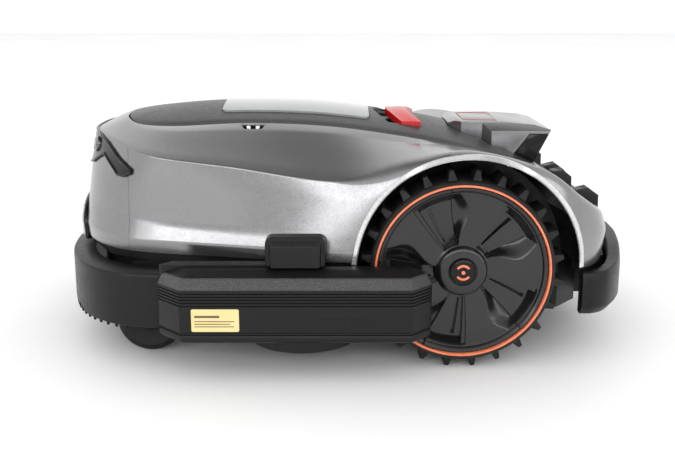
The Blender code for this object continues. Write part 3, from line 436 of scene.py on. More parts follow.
def rounded(points, radius, steps=5):
    """A closed (x, y) outline with rounded corners."""
    found = []
    for i, here in enumerate(points):
        here, before, after = Vector(here), Vector(points[i - 1]), Vector(points[(i + 1) % len(points)])
        reach = min(radius, (before - here).length * .45, (after - here).length * .45)
        found += [tuple(p) for p in curve_corner(before, here, after, reach, reach, steps)]
    return found


def inset(outline, distance):
    """The closed outline moved inwards by a distance, whichever way it runs."""
    pts = [Vector(p) for p in outline]
    count = len(pts)
    area = sum(pts[i - 1].cross(pts[i]) for i in range(count))
    turn = 1 if area > 0 else -1
    found = []
    for i in range(count):
        a, b = (pts[i] - pts[i - 1]).normalized(), (pts[(i + 1) % count] - pts[i]).normalized()
        normal = Vector((-a.y - b.y, a.x + b.x)) * turn
        normal.normalize()
        lean = max(.4, normal.dot(Vector((-a.y, a.x)) * turn))
        found.append(tuple(pts[i] + normal * (distance / lean)))
    return found


def mirrored(half):
    return [*half, *[(x, -y) for x, y in reversed(half) if abs(y) > 1e-9]]


def tube(name, points, radius, finish, closed=False):
    """A round bead along the points."""
    curve = bpy.data.curves.new(name, "CURVE")
    curve.dimensions, curve.bevel_depth, curve.bevel_resolution = "3D", radius, 3
    curve.use_fill_caps = True
    line = curve.splines.new("POLY")
    line.points.add(len(points) - 1)
    for point, place in zip(line.points, points):
        point.co = (*place, 1)
    line.use_cyclic_u = closed
    obj = link(name, curve)
    bpy.context.view_layer.update()
    mesh = bpy.data.meshes.new_from_object(obj.evaluated_get(bpy.context.evaluated_depsgraph_get()))
    bpy.data.objects.remove(obj)
    return link(name, mesh, finish)


# --- shell
WALL = .0018
FOLD_SHARE, FOLD_OUT = .465, .0012  # fold across the nose, between the band and the crease
DIP_SHARE, DIP_IN = .45, .0006  # hollow along the shoulder, between the crease and the strip


def read(table, x):
    """A table of (x, value) rows read at x, held at its ends."""
    if x <= table[0][0]:
        return table[0][1]
    for (x0, v0), (x1, v1) in zip(table, table[1:]):
        if x <= x1:
            return v0 + (v1 - v0) * (x - x0) / (x1 - x0)
    return table[-1][1]


def shell_sections():
    """The shell's outer section at every sample of its left half, with its corners filleted."""
    hem, low, high, crease, strip, edge = RINGS
    crease_radius = [(0, .006), (1.5, .004), (2.2, .0018), (4.9, .0018), (5.7, .016), (8, .014), (9, .008)]
    found = []
    for i in range(len(hem)):
        station = i / STEPS
        before, after = high[max(0, i - 1)], high[min(len(high) - 1, i + 1)]
        out = Vector((before.y - after.y, after.x - before.x, 0))
        out = -out.normalized() if out.length else Vector((1, 0, 0))
        fold_push = FOLD_OUT * (1 - smooth_step(1.8, 3.3, station))
        fold = high[i].lerp(crease[i], FOLD_SHARE) + out * fold_push
        dip_push = DIP_IN * smooth_step(1.6, 2.6, station) * (1 - smooth_step(5.2, 6.4, station))
        rise = (strip[i] - crease[i]).normalized()
        inward = rise.cross((after - before).normalized())
        if inward.z > 0:
            inward = -inward
        dip = crease[i].lerp(strip[i], DIP_SHARE) + inward * dip_push
        run = edge[i] - strip[i]
        lip_top = edge[i] + run.normalized() * .0006
        lip = lip_top + Vector((0, 0, -.0055))
        points = [hem[i], low[i], high[i], fold, crease[i], dip, strip[i], lip_top, lip]
        radii = [0, .0022, .007, .012, read(crease_radius, station), .03, .004, .0024, 0]
        found.append(fillet(points, radii))
    return found


LOUVRES = {
    "louvre_upper": [(-.27, .19), (-.2676, .2117), (-.2811, .2138), (-.2915, .2053), (-.292, .182)],
    "louvre_lower": [(-.2985, .17), (-.2965, .1875), (-.313, .1916), (-.3264, .182), (-.327, .16)],
}
LEFT_SECTIONS = shell_sections()


def shell_tree():
    """Ray-cast tree of the whole outer face, from the machine's datum, before anything is cut from it."""
    columns = LEFT_SECTIONS + [across(section) for section in reversed(LEFT_SECTIONS[1:-1])]
    count = len(columns[0])
    points = [p for column in columns for p in column]
    faces = []
    for i in range(len(columns)):
        j = (i + 1) % len(columns)
        here, there = i * count, j * count
        faces += [(here + k, there + k, there + k + 1, here + k + 1) for k in range(count - 1)]
    return columns, BVHTree.FromPolygons(points, faces)


COLUMNS, TREE = shell_tree()


def shell_side(x, z, side=1):
    """Distance of the shell's outer face from the middle plane at a height."""
    hit = TREE.ray_cast(Vector((x, side * .5, z)), Vector((0, -side, 0)))[0]
    return abs(hit.y)


def shell_front(y, z):
    return TREE.ray_cast(Vector((.6, y, z)), Vector((-1, 0, 0)))[0].x


def shell_top(x, y):
    return TREE.ray_cast(Vector((x, y, .5)), Vector((0, 0, -1)))[0].z


def on_shell(station, level, lift=0.0):
    """A point on the left or right outer face, lifted off it; level 0 is the hem and each ring adds one."""
    row = min(int(level), 4)
    place = min(abs(station) * STEPS, len(RINGS[0]) - 1.001)
    i, t = int(place), place - int(place)
    low, high = (RINGS[k][i].lerp(RINGS[k][i + 1], t) for k in (row, row + 1))
    straight = low.lerp(high, level - row)
    straight.y *= -1 if station < 0 else 1
    spot, normal = TREE.find_nearest(straight)[:2]
    if normal.dot(spot - MIDDLE) < 0:
        normal = -normal
    return spot + normal * lift


def top_shell():
    shell = sheet("shell", COLUMNS, PAINT, outward, close=True)
    shell.data.materials.append(BLACK)
    wall(shell, WALL).modifiers["wall"].material_offset = 1
    bake(shell)
    tools = []
    for side in SIDES.values():
        near, far = side * .165, side * .3
        tools.append(disc("arch", ARCH_R, (ARCH_X, near, ARCH_Z), (ARCH_X, far, ARCH_Z), segments=160))
        low, high = on_side(side, .165, .3)
        tools.append(block("skirt", (ARCH_X - ARCH_R, low, .05), (ARCH_X + ARCH_R, high, ARCH_Z)))
        low, high = on_side(side, .1, .3)
        tools.append(block("seam", (.2468, low, .1), (.2472, high, .25)))
    for outline in LOUVRES.values():
        half = LOUVRE_HALF + LOUVRE_GAP
        tools.append(prism("slot", inset(outline, -LOUVRE_GAP), -half, half, axis="Y"))
    tools.append(sensor_hole())
    combine(shell, tools)
    show(shell, "chassis", "silver_paint", "top_shell", sharp=26)


def middle_of(node):
    low, high = local_box(node)
    return (low + high) / 2


def sensor_outline(grow=0.0):
    spot = middle_of("rain_sensor")
    half_x, half_y = .015 + grow, .0066 + grow
    corners = [(-1, -1), (1, -1), (.72, 1), (-.72, 1)]
    return rounded([(spot.x + a * half_x, spot.y + b * half_y) for a, b in corners], .0025)


def sensor_hole():
    spot = middle_of("rain_sensor")
    return prism("sensor_hole", sensor_outline(), spot.z - .02, spot.z + .02)


def rain_sensor():
    """A shallow cup let into the strip with two polished studs in it."""
    spot = middle_of("rain_sensor")
    floor = shell_top(spot.x, spot.y) - .0042
    cup = prism("cup", sensor_outline(.0004), floor - .0012, floor)
    studs = []
    for offset in (-.0056, .0056):
        stud = lathe("stud", [(0, 0), (.003, 0), (.003, .0034), (.0024, .0047), (0, .0052)], steps=40)
        studs.append(moved(stud, Matrix.Translation((spot.x + offset, spot.y, floor))))
    piece = merge("rain_sensor_cup", [cup, *studs], CHROME)
    show(piece, "chassis", "bright_steel", "rain_sensor")


LIP_SECTION = [(0, -.004), (.0004, -.001), (.0018, .0006), (.0058, .0012), (.0064, .0004), (.0064, -.0022),
               (.001, -.0058)]  # out from the arch's edge, and out from the flank


def arch_lips():
    """Rolled lip round each wheel arch, in a lighter copy of the silver paint that paints the highlight along
    the arch's edge.
    """
    for side_name, side in SIDES.items():
        loops = []
        for i in range(121):
            turn = math.radians(4.2 + (179.2 - 4.2) * i / 120)
            loop = []
            for out, lift in LIP_SECTION:
                radius = ARCH_R - .0006 + out
                x, z = ARCH_X + radius * math.cos(turn), ARCH_Z + radius * math.sin(turn)
                loop.append((x, side * (shell_side(x, max(z, .131), side) + lift), z))
            loops.append(loop)
        show(loft("arch_lip_" + side_name, loops, LIP_PAINTED_HIGHLIGHT), "chassis", "silver_paint", sharp=24)


# --- deck
def rounded_box_outline(rear, front, half, radius, grow=0.0):
    return rounded(rectangle(rear - grow, front + grow, -half - grow, half + grow), radius, 8)


def stop_outline(grow=0.0, ahead=0.0, steps=14):
    """Plan of the stop paddle: a bar across the deck, its ends swept back. ahead moves its front edge on."""
    half = STOP_HALF + grow
    front, rear = [], []
    for i in range(steps + 1):
        y = half * (2 * i / steps - 1)
        sweep = STOP_SWEEP * abs(y / half) ** 1.6
        front.append((STOP_FRONT + grow + ahead - sweep, y))
        rear.append((STOP_REAR - grow - sweep, y))
    return rounded([*front, *reversed(rear)], .004)


def module_plan(rear, grow=0.0):
    front = [(-.143, 0), (-.143, .04), (-.158, .056), (-.184, .06), (-.194, .076)]
    grown = [(x + grow, y + grow if y else 0) for x, y in front]
    return [*grown, (rear - grow, .076 + grow), (rear - grow, 0)]


MODULE_SIDE = [(-.14, .248), (-.14, .264), (-.15, .269), (-.208, .269), (-.25, .2655), (-.269, .2605),
               (-.244, .212), (-.2, .228)]
WINDOW = [(-.2215, .228), (-.242, .255), (-.266, .255), (-.248, .219)]


def deck_rows(lift=0.0):
    """Rings of the deck from its edge to the middle line."""
    left = RINGS[-1]
    ring = left + across(reversed(left[1:-1]))
    rows = []
    levels = [(1.0, .0024, .0014), (1.0, .0029, .0003), (1.0, .0042, 0)]
    levels += [(share, 0, 0) for share in (.93, .85, .75, .62, .48, .32, .16, .02)]
    for share, gap, drop_edge in levels:
        row = []
        for p in ring:
            core = Vector((max(-.19, min(.2, p.x)), 0))
            out = Vector((p.x, p.y)) - core
            flat = core + out * (share - gap / out.length)
            drop = (along(CROWN_FINE, p.x) - p.z) * share ** 2
            row.append(Vector((flat.x, flat.y, along(CROWN_FINE, flat.x) - drop - drop_edge + lift)))
        rows.append(row)
    return rows


def deck_panel():
    rows = deck_rows()
    count, half = len(rows[0]), len(rows[0]) // 2
    bm = bmesh.new()
    made = [[bm.verts.new(p) for p in row] for row in rows]
    grid_faces(bm, made, around=True)
    inner = made[-1]
    for i in range(half):
        corners = [inner[i], inner[i + 1], inner[(count - i - 1) % count], inner[(count - i) % count]]
        bm.faces.new(list(dict.fromkeys(corners)))
    turn_faces(bm, upward)
    deck = wall(from_bmesh("deck", bm, DECK, outward=False), .0028)
    bake(deck)
    lid_hole = rounded_box_outline(LID_REAR, LID_FRONT, LID_HALF, .01, .0008)
    combine(deck, [prism("lid_hole", lid_hole, .245, .32),
                   prism("stop_hole", stop_outline(.0009, .016), .22, .32),
                   prism("module_hole", mirrored(module_plan(-.2485, .0009)), .18, .32)])
    show(deck, "chassis", "dark_grey", "deck_panel", sharp=28)


def deck_patch(name, x0, x1, half, lift, thickness, finish, columns=36, rows=28):
    """A slab that follows the deck, lifted off it by lift(x, y)."""
    bm = bmesh.new()
    grid = []
    for i in range(columns + 1):
        x = x0 + (x1 - x0) * i / columns
        ys = [half * (2 * j / rows - 1) for j in range(rows + 1)]
        grid.append([bm.verts.new((x, y, deck_z(x, y) + lift(x, y))) for y in ys])
    grid_faces(bm, grid)
    for face in bm.faces:
        face.normal_update()
    if sum(f.normal.z for f in bm.faces) < 0:
        bmesh.ops.reverse_faces(bm, faces=bm.faces)
    under = bmesh.ops.extrude_face_region(bm, geom=bm.faces[:])["geom"]
    lowered = [v for v in under if isinstance(v, bmesh.types.BMVert)]
    bmesh.ops.translate(bm, vec=(0, 0, -thickness), verts=lowered)
    return from_bmesh(name, bm, finish)


def trim_to(obj, outline):
    """Keeps only what stands on an outline."""
    cutter = prism("keep", outline, .15, .35)
    return combine(obj, [cutter], "INTERSECT")


def control_lid():
    lid = deck_patch("lid", LID_REAR - .01, LID_FRONT + .01, LID_HALF + .01, lambda x, y: .0022, .003,
                     LID_GLOSS)
    trim_to(lid, rounded_box_outline(LID_REAR, LID_FRONT, LID_HALF, .0095))
    soften(lid, .0007, 3, 40)
    show(lid, "lid", "panel_grey", "control_lid", sharp=40)


def stop_lift(x, y):
    """The paddle rises from its front edge to its rear."""
    sweep = STOP_SWEEP * min(1.0, abs(y / STOP_HALF)) ** 1.6
    u = max(0.0, min(1.0, (STOP_FRONT - sweep - x) / (STOP_FRONT - STOP_REAR)))
    return .003 + .0032 * smooth_step(0, .9, u)


def stop_button():
    """Red paddle, and the recess that a finger goes into ahead of it."""
    paddle = deck_patch("paddle", STOP_REAR - STOP_SWEEP - .01, STOP_FRONT + .01, STOP_HALF + .01, stop_lift,
                        .0085, RED)
    trim_to(paddle, stop_outline())
    soften(paddle, .0022, 4, 40)
    show(paddle, "stop", "red_plastic", "stop_button", sharp=50)
    bed = deck_patch("finger_recess", STOP_REAR - STOP_SWEEP - .012, STOP_FRONT + .03, STOP_HALF + .014,
                     lambda x, y: -.012, .0012, BLACK)
    trim_to(bed, stop_outline(.003, .016))
    show(bed, "chassis", "black_plastic")


KEY_BODIES = {"key_power": "power_key", "key_start": "start_key", "key_home": "home_key"}


def keypad():
    """Plate under the lid with its screen and three keys."""
    low, high = local_box("keypad")
    plate = block("plate", low, high, BLACK)
    room = Vector((.0005, .0005, .02))
    holes = []
    for name in KEY_BODIES:
        k_low, k_high = local_box(name)
        holes.append(block("hole", k_low - room, k_high + room))
    combine(plate, holes)
    soften(plate, .0006, 2)
    show(plate, "chassis", "black_plastic", "keypad")
    for name, body in KEY_BODIES.items():
        k_low, k_high = local_box(name)
        outline = rounded(rectangle(k_low.x, k_high.x, k_low.y, k_high.y), .003)
        cap = prism("cap", outline, k_low.z, k_high.z, DECK)
        soften(cap, .0008, 3)
        middle = (k_low + k_high) / 2
        dot = lathe("dot", [(.002, 0), (.0034, 0), (.0034, .0004), (.002, .0004)], steps=36)
        moved(dot, Matrix.Translation((middle.x, middle.y, k_high.z - .0001)))
        show(merge(name + "_cap", [cap, dot], DECK), body, "dark_grey", name)
    s_low, s_high = local_box("status_screen")
    outline = rounded(rectangle(s_low.x, s_high.x, s_low.y, s_high.y), .004)
    glass = prism("screen", outline, s_low.z, s_high.z - .0004)
    rim = prism("screen_rim", outline, s_high.z - .0006, s_high.z)
    combine(rim, [prism("hole", inset(outline, .0022), s_low.z, s_high.z + .01)])
    piece = merge("screen_glass", [soften(glass, .0005, 2), soften(rim, .0002, 2)], PIANO)
    show(piece, "chassis", "gloss_black", "status_screen")


# --- rear module
MODULE_WIDE, MODULE_REAR = .0765, -.2702
CAP = [(-.1626, 0), (-.1626, .04), (-.2054, .0474), (-.2054, 0)]


def module_section(roof, shoulder):
    """Cross-section outline (y, z): a flat roof, a sloped shoulder and upright sides."""
    half = [(0, roof), (.052, roof), (.06, roof - .0018), (MODULE_WIDE, shoulder), (MODULE_WIDE, .19)]
    return half + [(-y, z) for y, z in reversed(half[1:])]


def rear_module():
    body = prism("module", mirrored(module_plan(MODULE_REAR)), .195, .3, MODULE_PAINT)
    cross = prism("cross", module_section(.2693, .259), -.3, -.12)
    cross.data.transform(Matrix(((0, 0, 1, 0), (1, 0, 0, 0), (0, 1, 0, 0), (0, 0, 0, 1))))
    combine(body, [prism("side", MODULE_SIDE, -.1, .1, axis="Y")], "INTERSECT")
    combine(body, [cross], "INTERSECT")
    hollow = [(-.153, 0), (-.153, .036), (-.19, .05), (-.232, .056), (-.232, 0)]
    combine(body, [prism("hollow", mirrored(hollow), .18, .2505)])
    combine(body, [prism("cap_hole", rounded(inset(mirrored(CAP), -.0006), .003), .2636, .32)])
    for side in SIDES.values():
        low, high = on_side(side, .0735, .08)
        combine(body, [prism("bed", inset(WINDOW, -.0006), low, high, axis="Y")])
    soften(body, .0016, 4, 24)
    show(body, "chassis", "module_silver", "module_body", sharp=30)
    cap = prism("module_cap", rounded(mirrored(CAP), .003), .264, .2694, MODULE_PAINT)
    soften(cap, .0005, 2)
    show(cap, "chassis", "module_silver", "module_lid", sharp=38)
    line = [(x, y, .2694) for x, y in rounded(inset(mirrored(CAP), .0008), .003)]
    show(tube("cap_line", line, .00035, RED, closed=True), "chassis", "red_plastic")
    for side_name, side in SIDES.items():
        low, high = on_side(side, .0738, .0764)
        pane = prism("window_pane_" + side_name, WINDOW, low, high, PIANO, axis="Y")
        soften(pane, .0004, 2)
        show(pane, "chassis", "gloss_black", "module_window_" + side_name)


LOUVRE_BEDS = {
    "louvre_upper": [(-.2699, .1904), (-.2684, .203), (-.2914, .1895), (-.2917, .1824)],
    "louvre_lower": [(-.2984, .1704), (-.297, .1862), (-.326, .169), (-.3266, .1606)],
}
LOUVRE_END = .02


def louvre_slots(bed):
    """Cutters of the slots in a slat's flush middle."""
    front, rear = Vector(bed[1]), Vector(bed[2])
    near, far = front.lerp(rear, .18), front.lerp(rear, .82)
    drop, rise = Vector((0, -.003)), Vector((0, .006))
    corners = [tuple(c) for c in (near + drop, near + rise, far + rise, far + drop)]
    places = [i * .012 for i in range(-6, 7)]
    return [prism("slot", corners, y - .0026, y + .0026, axis="Y") for y in places]


def louvre_end(outline, side):
    """A raised block with three notches that leave fins."""
    low, high = on_side(side, LOUVRE_HALF - LOUVRE_END, LOUVRE_HALF)
    end = prism("end", outline, low, high, axis="Y")
    peak, back = Vector(outline[2]), Vector(outline[3])
    notch = [tuple(c) for c in (peak + Vector((.006, -.0034)), peak + Vector((.006, .006)),
                                back + Vector((-.002, .006)), back + Vector((.002, -.0016)))]
    places = [low + LOUVRE_END * (i + .75) / 3.5 for i in range(3)]
    notches = [prism("notch", notch, y - .0011, y + .0011, axis="Y") for y in places]
    return combine(end, [merge("notches", notches)])


def louvres():
    """Two vent slats across the tail, flush in their middles and raised at their ends."""
    for name, outline in LOUVRES.items():
        bed = LOUVRE_BEDS[name]
        slat = prism(name + "_slat", bed, -LOUVRE_HALF, LOUVRE_HALF, BLACK, axis="Y")
        combine(slat, [merge("slots", louvre_slots(bed))])
        combine(slat, [louvre_end(outline, side) for side in (1, -1)], "UNION")
        soften(slat, .0006, 2)
        show(slat, "chassis", "black_plastic", name)


# --- nose
VISOR_LOW = [(0, 2.5), (.6, 2.52), (1.1, 2.59), (1.6, 2.77), (2.2, 2.57), (2.42, 2.585), (2.6, 2.66)]
VISOR_HIGH = [(0, 3.03), (.6, 3.03), (1.2, 3.01), (1.65, 2.93), (2.1, 2.8), (2.6, 2.71)]
VISOR_END = 2.6
LENS_STATION, LENS_LEVEL = 1.2, 2.84


def camera_bezel():
    """Gloss black visor round the nose: a dished band inside a raised rim, with a lens at each side."""
    columns, rows = 156, 12
    grid = []
    for i in range(columns + 1):
        station = VISOR_END * (2 * i / columns - 1)
        s = abs(station)
        low, high = read(VISOR_LOW, s), read(VISOR_HIGH, s)
        column = []
        for j in range(rows + 1):
            v = j / rows
            dish = .001 * min(1, 5 * v, 5 * (1 - v))
            column.append(on_shell(station, low + (high - low) * v, .002 - dish))
        grid.append(column)
    band = wall(sheet("visor_band", grid, PIANO, ahead), .004)
    outline = [column[0] for column in grid] + [column[-1] for column in reversed(grid)]
    edge = tube("visor_rim", outline, .0015, PIANO, closed=True)
    visor = merge("visor", [band, edge], PIANO)
    show(visor, "chassis", "gloss_black", "camera_bezel", sharp=40)
    for side_name, side in SIDES.items():
        spot = on_shell(side * LENS_STATION, LENS_LEVEL, -.002)
        out = on_shell(side * LENS_STATION, LENS_LEVEL, .011) - spot
        turn = out.to_track_quat("Z", "Y").to_matrix().to_4x4()
        profile = [(0, 0), (.01, 0), (.01, .0044), (.0092, .0058), (.008, .0058), (.0073, .005),
                   (.0064, .0056), (.004, .0064), (0, .0067)]
        lens = moved(lathe("lens_" + side_name, profile, GLASS, 72), Matrix.Translation(spot) @ turn)
        show(lens, "chassis", "lens_glass", "camera_lens_" + side_name, sharp=30)


ARCH_HALF, ARCH_BASE, ARCH_RISE = .08, .1215, .0475  # the charging port's arch on the nose


def nose_arch(t, shrink=0.0):
    """A point of the arch in the nose's (y, z) plane, t from -1 to 1."""
    half, rise = ARCH_HALF - shrink, ARCH_RISE - shrink
    turn = math.pi / 2 * t
    y = half * math.copysign(abs(math.sin(turn)) ** .75, t)
    return y, ARCH_BASE + rise * max(0.0, math.cos(turn)) ** .55


def nose_plate(name, shrink, lift, thickness, finish, base):
    """A plate inside the arch, lifted off the nose."""
    columns, rows = 48, 10
    grid = []
    for i in range(columns + 1):
        y, top = nose_arch(2 * i / columns - 1, shrink)
        heights = [base + (max(top, base + .0004) - base) * j / rows for j in range(rows + 1)]
        grid.append([(shell_front(y, max(z, .132)) + lift, y, z) for z in heights])
    return soften(wall(sheet(name, grid, finish, ahead), thickness), .0005, 2, 50)


def nose_panel():
    """Charging port: a black arch, a painted field inside it and a pale insert with two contacts."""
    arch = [nose_arch(2 * i / 80 - 1) for i in range(81)]
    line = [(shell_front(y, max(z, .132)) + .001, y, z) for y, z in arch]
    frame_bead = tube("port_bead", line, .0042, PIANO)
    field = nose_plate("port_field", .004, .0012, .003, PIANO, ARCH_BASE)
    piece = merge("port_frame", [frame_bead, field], PIANO)
    show(piece, "chassis", "black_plastic", "nose_panel", sharp=40)
    insert = nose_plate("port_insert", .013, .0078, .007, WHITE, ARCH_BASE + .0015)
    show(insert, "chassis", "panel_grey", sharp=40)
    for side_name, side in SIDES.items():
        low, high = local_box("charge_contact_" + side_name)
        middle = (low + high) / 2
        front = shell_front(middle.y, middle.z) + .0078
        pad = block("contact_pad_" + side_name, (front - .002, low.y, low.z), (front + .0012, high.y, high.z),
                    CHROME)
        soften(pad, .0009, 3)
        show(pad, "chassis", "bright_steel", "charge_contact_" + side_name)


# --- bumpers
BUMPER_CX, BUMPER_A, BUMPER_B, BUMPER_POWER, BUMPER_END = .2, .1445, .2245, .87, .095
BUMPER_LOW, BUMPER_TOP, TOOTH_PITCH, TOOTH_END = .056, .1151, .0135, .236
LEDGE_X, LEDGE_Y = .0265, .032


def bumper_point(t, inset_x, inset_y):
    """Plan of the nose: t from -1 to 1 runs round the superellipse, beyond it along the straight ends."""
    share = min(1.0, abs(t))
    turn = math.pi / 2 * share
    x = BUMPER_CX + (BUMPER_A - inset_x) * max(0.0, math.cos(turn)) ** BUMPER_POWER
    y = (BUMPER_B - inset_y) * math.sin(turn) ** BUMPER_POWER
    if abs(t) > 1:
        x = BUMPER_CX + (BUMPER_END - BUMPER_CX) * (abs(t) - 1) / .4
        y = BUMPER_B - inset_y + .003 * (abs(t) - 1) / .4
    return x, math.copysign(y, t) if t else 0.0


def tooth_places():
    """Middle and run of each tooth, spaced evenly along the nose's wall on both sides."""
    line = [Vector(bumper_point(i / 500, .0022, .0022)) for i in range(501)]
    travelled, wanted = 0.0, TOOTH_PITCH / 2
    found = []
    for a, b in zip(line, line[1:]):
        travelled += (b - a).length
        if travelled >= wanted and b.x > TOOTH_END:
            run = (b - a).normalized()
            found += [(b, run), (Vector((b.x, -b.y)), Vector((run.x, -run.y)))]
            wanted += TOOTH_PITCH
    return found


def front_bumper():
    loops = []
    count = 240
    for i in range(count + 1):
        t = 1.4 * (2 * i / count - 1)
        foot = BUMPER_LOW - .005 * smooth_step(.15, .175, abs(bumper_point(t, 0, 0)[1]))
        section = [(.0008, foot), (0, foot + .001), (0, .1105), (.0003, .1128), (.0012, .1144),
                   (.0028, BUMPER_TOP)]
        loop = [(*bumper_point(t, d, d), z) for d, z in section]
        ledge = bumper_point(t, LEDGE_X, LEDGE_Y)
        loop += [(*ledge, BUMPER_TOP), (*ledge, .1112)]
        loop += [(*bumper_point(t, d, d), z) for d, z in ((.0062, .1108), (.004, .108), (.004, foot))]
        loops.append(loop)
    skin = loft("bumper_skin", loops, BLACK)
    teeth = []
    for place, run in tooth_places():
        out = Vector((run.y, -run.x))
        rows = [[(*(place + run * a * half + out * b * thick), z) for a, b in rectangle(-1, 1, -1, 1)]
                for half, thick, z in ((.0022, .0018, .0575), (.002, .0017, .052), (.0013, .0011, .0472))]
        teeth.append(soften(loft("tooth", rows), .0005, 2))
    piece = merge("bumper_front", [skin, *teeth], BLACK)
    show(piece, "bumper", "black_plastic", "front_bumper", sharp=35)


REAR_PLAN = [(-.285, .206, .111), (-.302, .205, .1115), (-.322, .191, .1125), (-.342, .155, .115),
             (-.358, .1, .121), (-.368, .045, .124), (-.371, 0, .1245)]


def rear_bumper():
    left = spline(REAR_PLAN, 9)
    line = left + across(reversed(left[:-1]))
    loops = []
    for i, p in enumerate(line):
        before, after = line[max(i - 1, 0)], line[min(i + 1, len(line) - 1)]
        run = Vector((after.x - before.x, after.y - before.y)).normalized()
        inward = Vector((-run.y, run.x))
        if inward.dot(Vector((-.2, 0)) - Vector((p.x, p.y))) < 0:
            inward = -inward
        section = [(.012, .059), (.008, .0594), (.0012, .068), (0, .071), (.0002, p.z - .012),
                   (.001, p.z - .004), (.0022, p.z - .0012), (.0044, p.z), (.015, p.z - .0008),
                   (.0165, p.z - .003), (.017, .096), (.017, .061)]
        loops.append([(p.x + inward.x * d, p.y + inward.y * d, z) for d, z in section])
    tail = loft("bumper_rear", loops, BLACK)
    bake(tail)
    bm = bmesh.new()
    bm.from_mesh(tail.data)
    caps = [f for f in bm.faces if len(f.verts) > 8]
    bmesh.ops.inset_individual(bm, faces=caps, thickness=.0026, depth=-.003)
    bm.to_mesh(tail.data)
    bm.free()
    soften(tail, .0006, 2, 40)
    show(tail, "chassis", "black_plastic", "rear_bumper", sharp=30)


# --- drive wheels
WINDOW_START, WINDOW_SPAN = (31.0, 27.0), (30.0, 30.5)  # at the hub and at the rim, in degrees
WINDOW_IN, WINDOW_OUT, WINDOW_DEPTH = .0305, .0905, .0118
RAMP_SPAN, RAMP_R = 17.0, .066  # the swept flank ahead of each window is widest at this radius


def window_share(radius, inner, outer):
    share = max(0.0, min(1.0, (radius - WINDOW_IN) / (WINDOW_OUT - WINDOW_IN)))
    return inner + (outer - inner) * share


def rim_face(radius):
    """Front face of the rim without its windows."""
    return read([(0, .062), (.0145, .062), (.015, .0612), (.016, .0612), (.0166, .0622), (.0245, .0618),
                 (.027, .0604), (.029, .0566), (.031, .0556), (.06, .0566), (.09, .0582), (.0918, .0586),
                 (.093, .0608), (.095, .0622), (.097, .0624), (.098, .0614)], radius)


def window_depth(radius, turn):
    """Depth of the windows under the face; turn is in degrees from a window's start."""
    span = window_share(radius, *WINDOW_SPAN)
    ramp_span = 3.0 + RAMP_SPAN * math.exp(-((radius - RAMP_R) / .021) ** 2)
    if turn < 0:
        across = smooth_step(-ramp_span, .8, turn)
    elif turn < span - 3.4:
        across = 1.0
    elif turn < span:
        across = .34 if turn > span - 2.9 else 1.0
    else:
        across = 0.0
    inner = max(0.0, min(1.0, (radius - WINDOW_IN) / .0022))
    outer = max(0.0, min(1.0, (WINDOW_OUT - radius) / .008))
    depth = WINDOW_DEPTH * min(across, inner, outer)
    if .036 <= radius <= .08 and .6 * span <= turn <= .71 * span:
        depth += .0095
    if radius > .034 and .0 <= turn < .6 * span:
        depth -= .0022 * (1 - turn / (.6 * span)) * min(1.0, (radius - .034) / .01)
    return depth


def wheel_place(obj, side):
    """Puts a piece made round its own axis into the left or right wheel's place."""
    spot = Matrix.Translation((WHEEL_X, side * WHEEL_IN, WHEEL_Z))
    return moved(obj, spot @ Matrix.Rotation(-side * math.pi / 2, 4, "X"))


# radii of the rim's samples at the hub and at its outer edge
RIM_NEAR = [.0068, .012, .0144, .015, .0161, .0167, .02, .0235, .0252, .0268, .028, .0292, .0303, .0309,
            .0318, .0327, .034, .0358, .0362]
RIM_FAR = [.0802, .0812, .0823, .0827, .0845, .0865, .0885, .0903, .0908, .0917, .0929, .0938, .0952, .0968,
           .098]
# degrees from a window's start, shares of its span at the deep slot and the panel, degrees from its end
SWEEP_TURNS = [-22, -20, -18, -16, -14, -12.5, -11, -9.5, -8, -6.5, -5, -3.5, -2, -1, -.2, .8, 2, 4, 6, 8,
               10, 12, 14, 16]
SPAN_SHARES = [.597, .603, .655, .707, .713, .8]
SPAN_BACKS = [-3.45, -2.85, -.05, .35, 3, 7, 11, 15]
RIM_BACK = [(RIM_R, .004), (.09, .004), (.086, .0335), (.0068, .0335)]  # radius and height of the barrel


def rim():
    """Five-window face with a swept flank ahead of each window, and the barrel behind it."""
    middle = [.0362 + (.0798 - .0362) * i / 22 for i in range(1, 23)]
    radii = [*RIM_NEAR, *middle, *RIM_FAR]
    rows = []
    for radius in radii:
        span = window_share(radius, *WINDOW_SPAN)
        start = window_share(radius, *WINDOW_START) + 180
        turns = SWEEP_TURNS + [share * span for share in SPAN_SHARES] + [span + back for back in SPAN_BACKS]
        row = []
        for k in range(WINDOWS):
            for turn in turns:
                a = math.radians(start + 72 * k + turn)
                height = rim_face(radius) - window_depth(radius, turn)
                row.append(Vector((radius * math.cos(a), radius * math.sin(a), height)))
        rows.append(row)
    edge = rows[-1]
    for radius, height in RIM_BACK:
        rows.append([(p.x / RIM_R * radius, p.y / RIM_R * radius, height) for p in edge])
    bm = bmesh.new()
    grid_faces(bm, [[bm.verts.new(p) for p in row] for row in rows], around=True, close=True)
    return from_bmesh("rim_pattern", bm, RIM_BLACK)


LUG_SECTIONS = [(TYRE_R - .0015, .0054, .005, .0592), (.108, .0046, .007, .0578), (.115, .003, .0105, .0556),
                (LUG_R, .0025, .0125, .0545)]  # radius, half width, start and end across the tyre


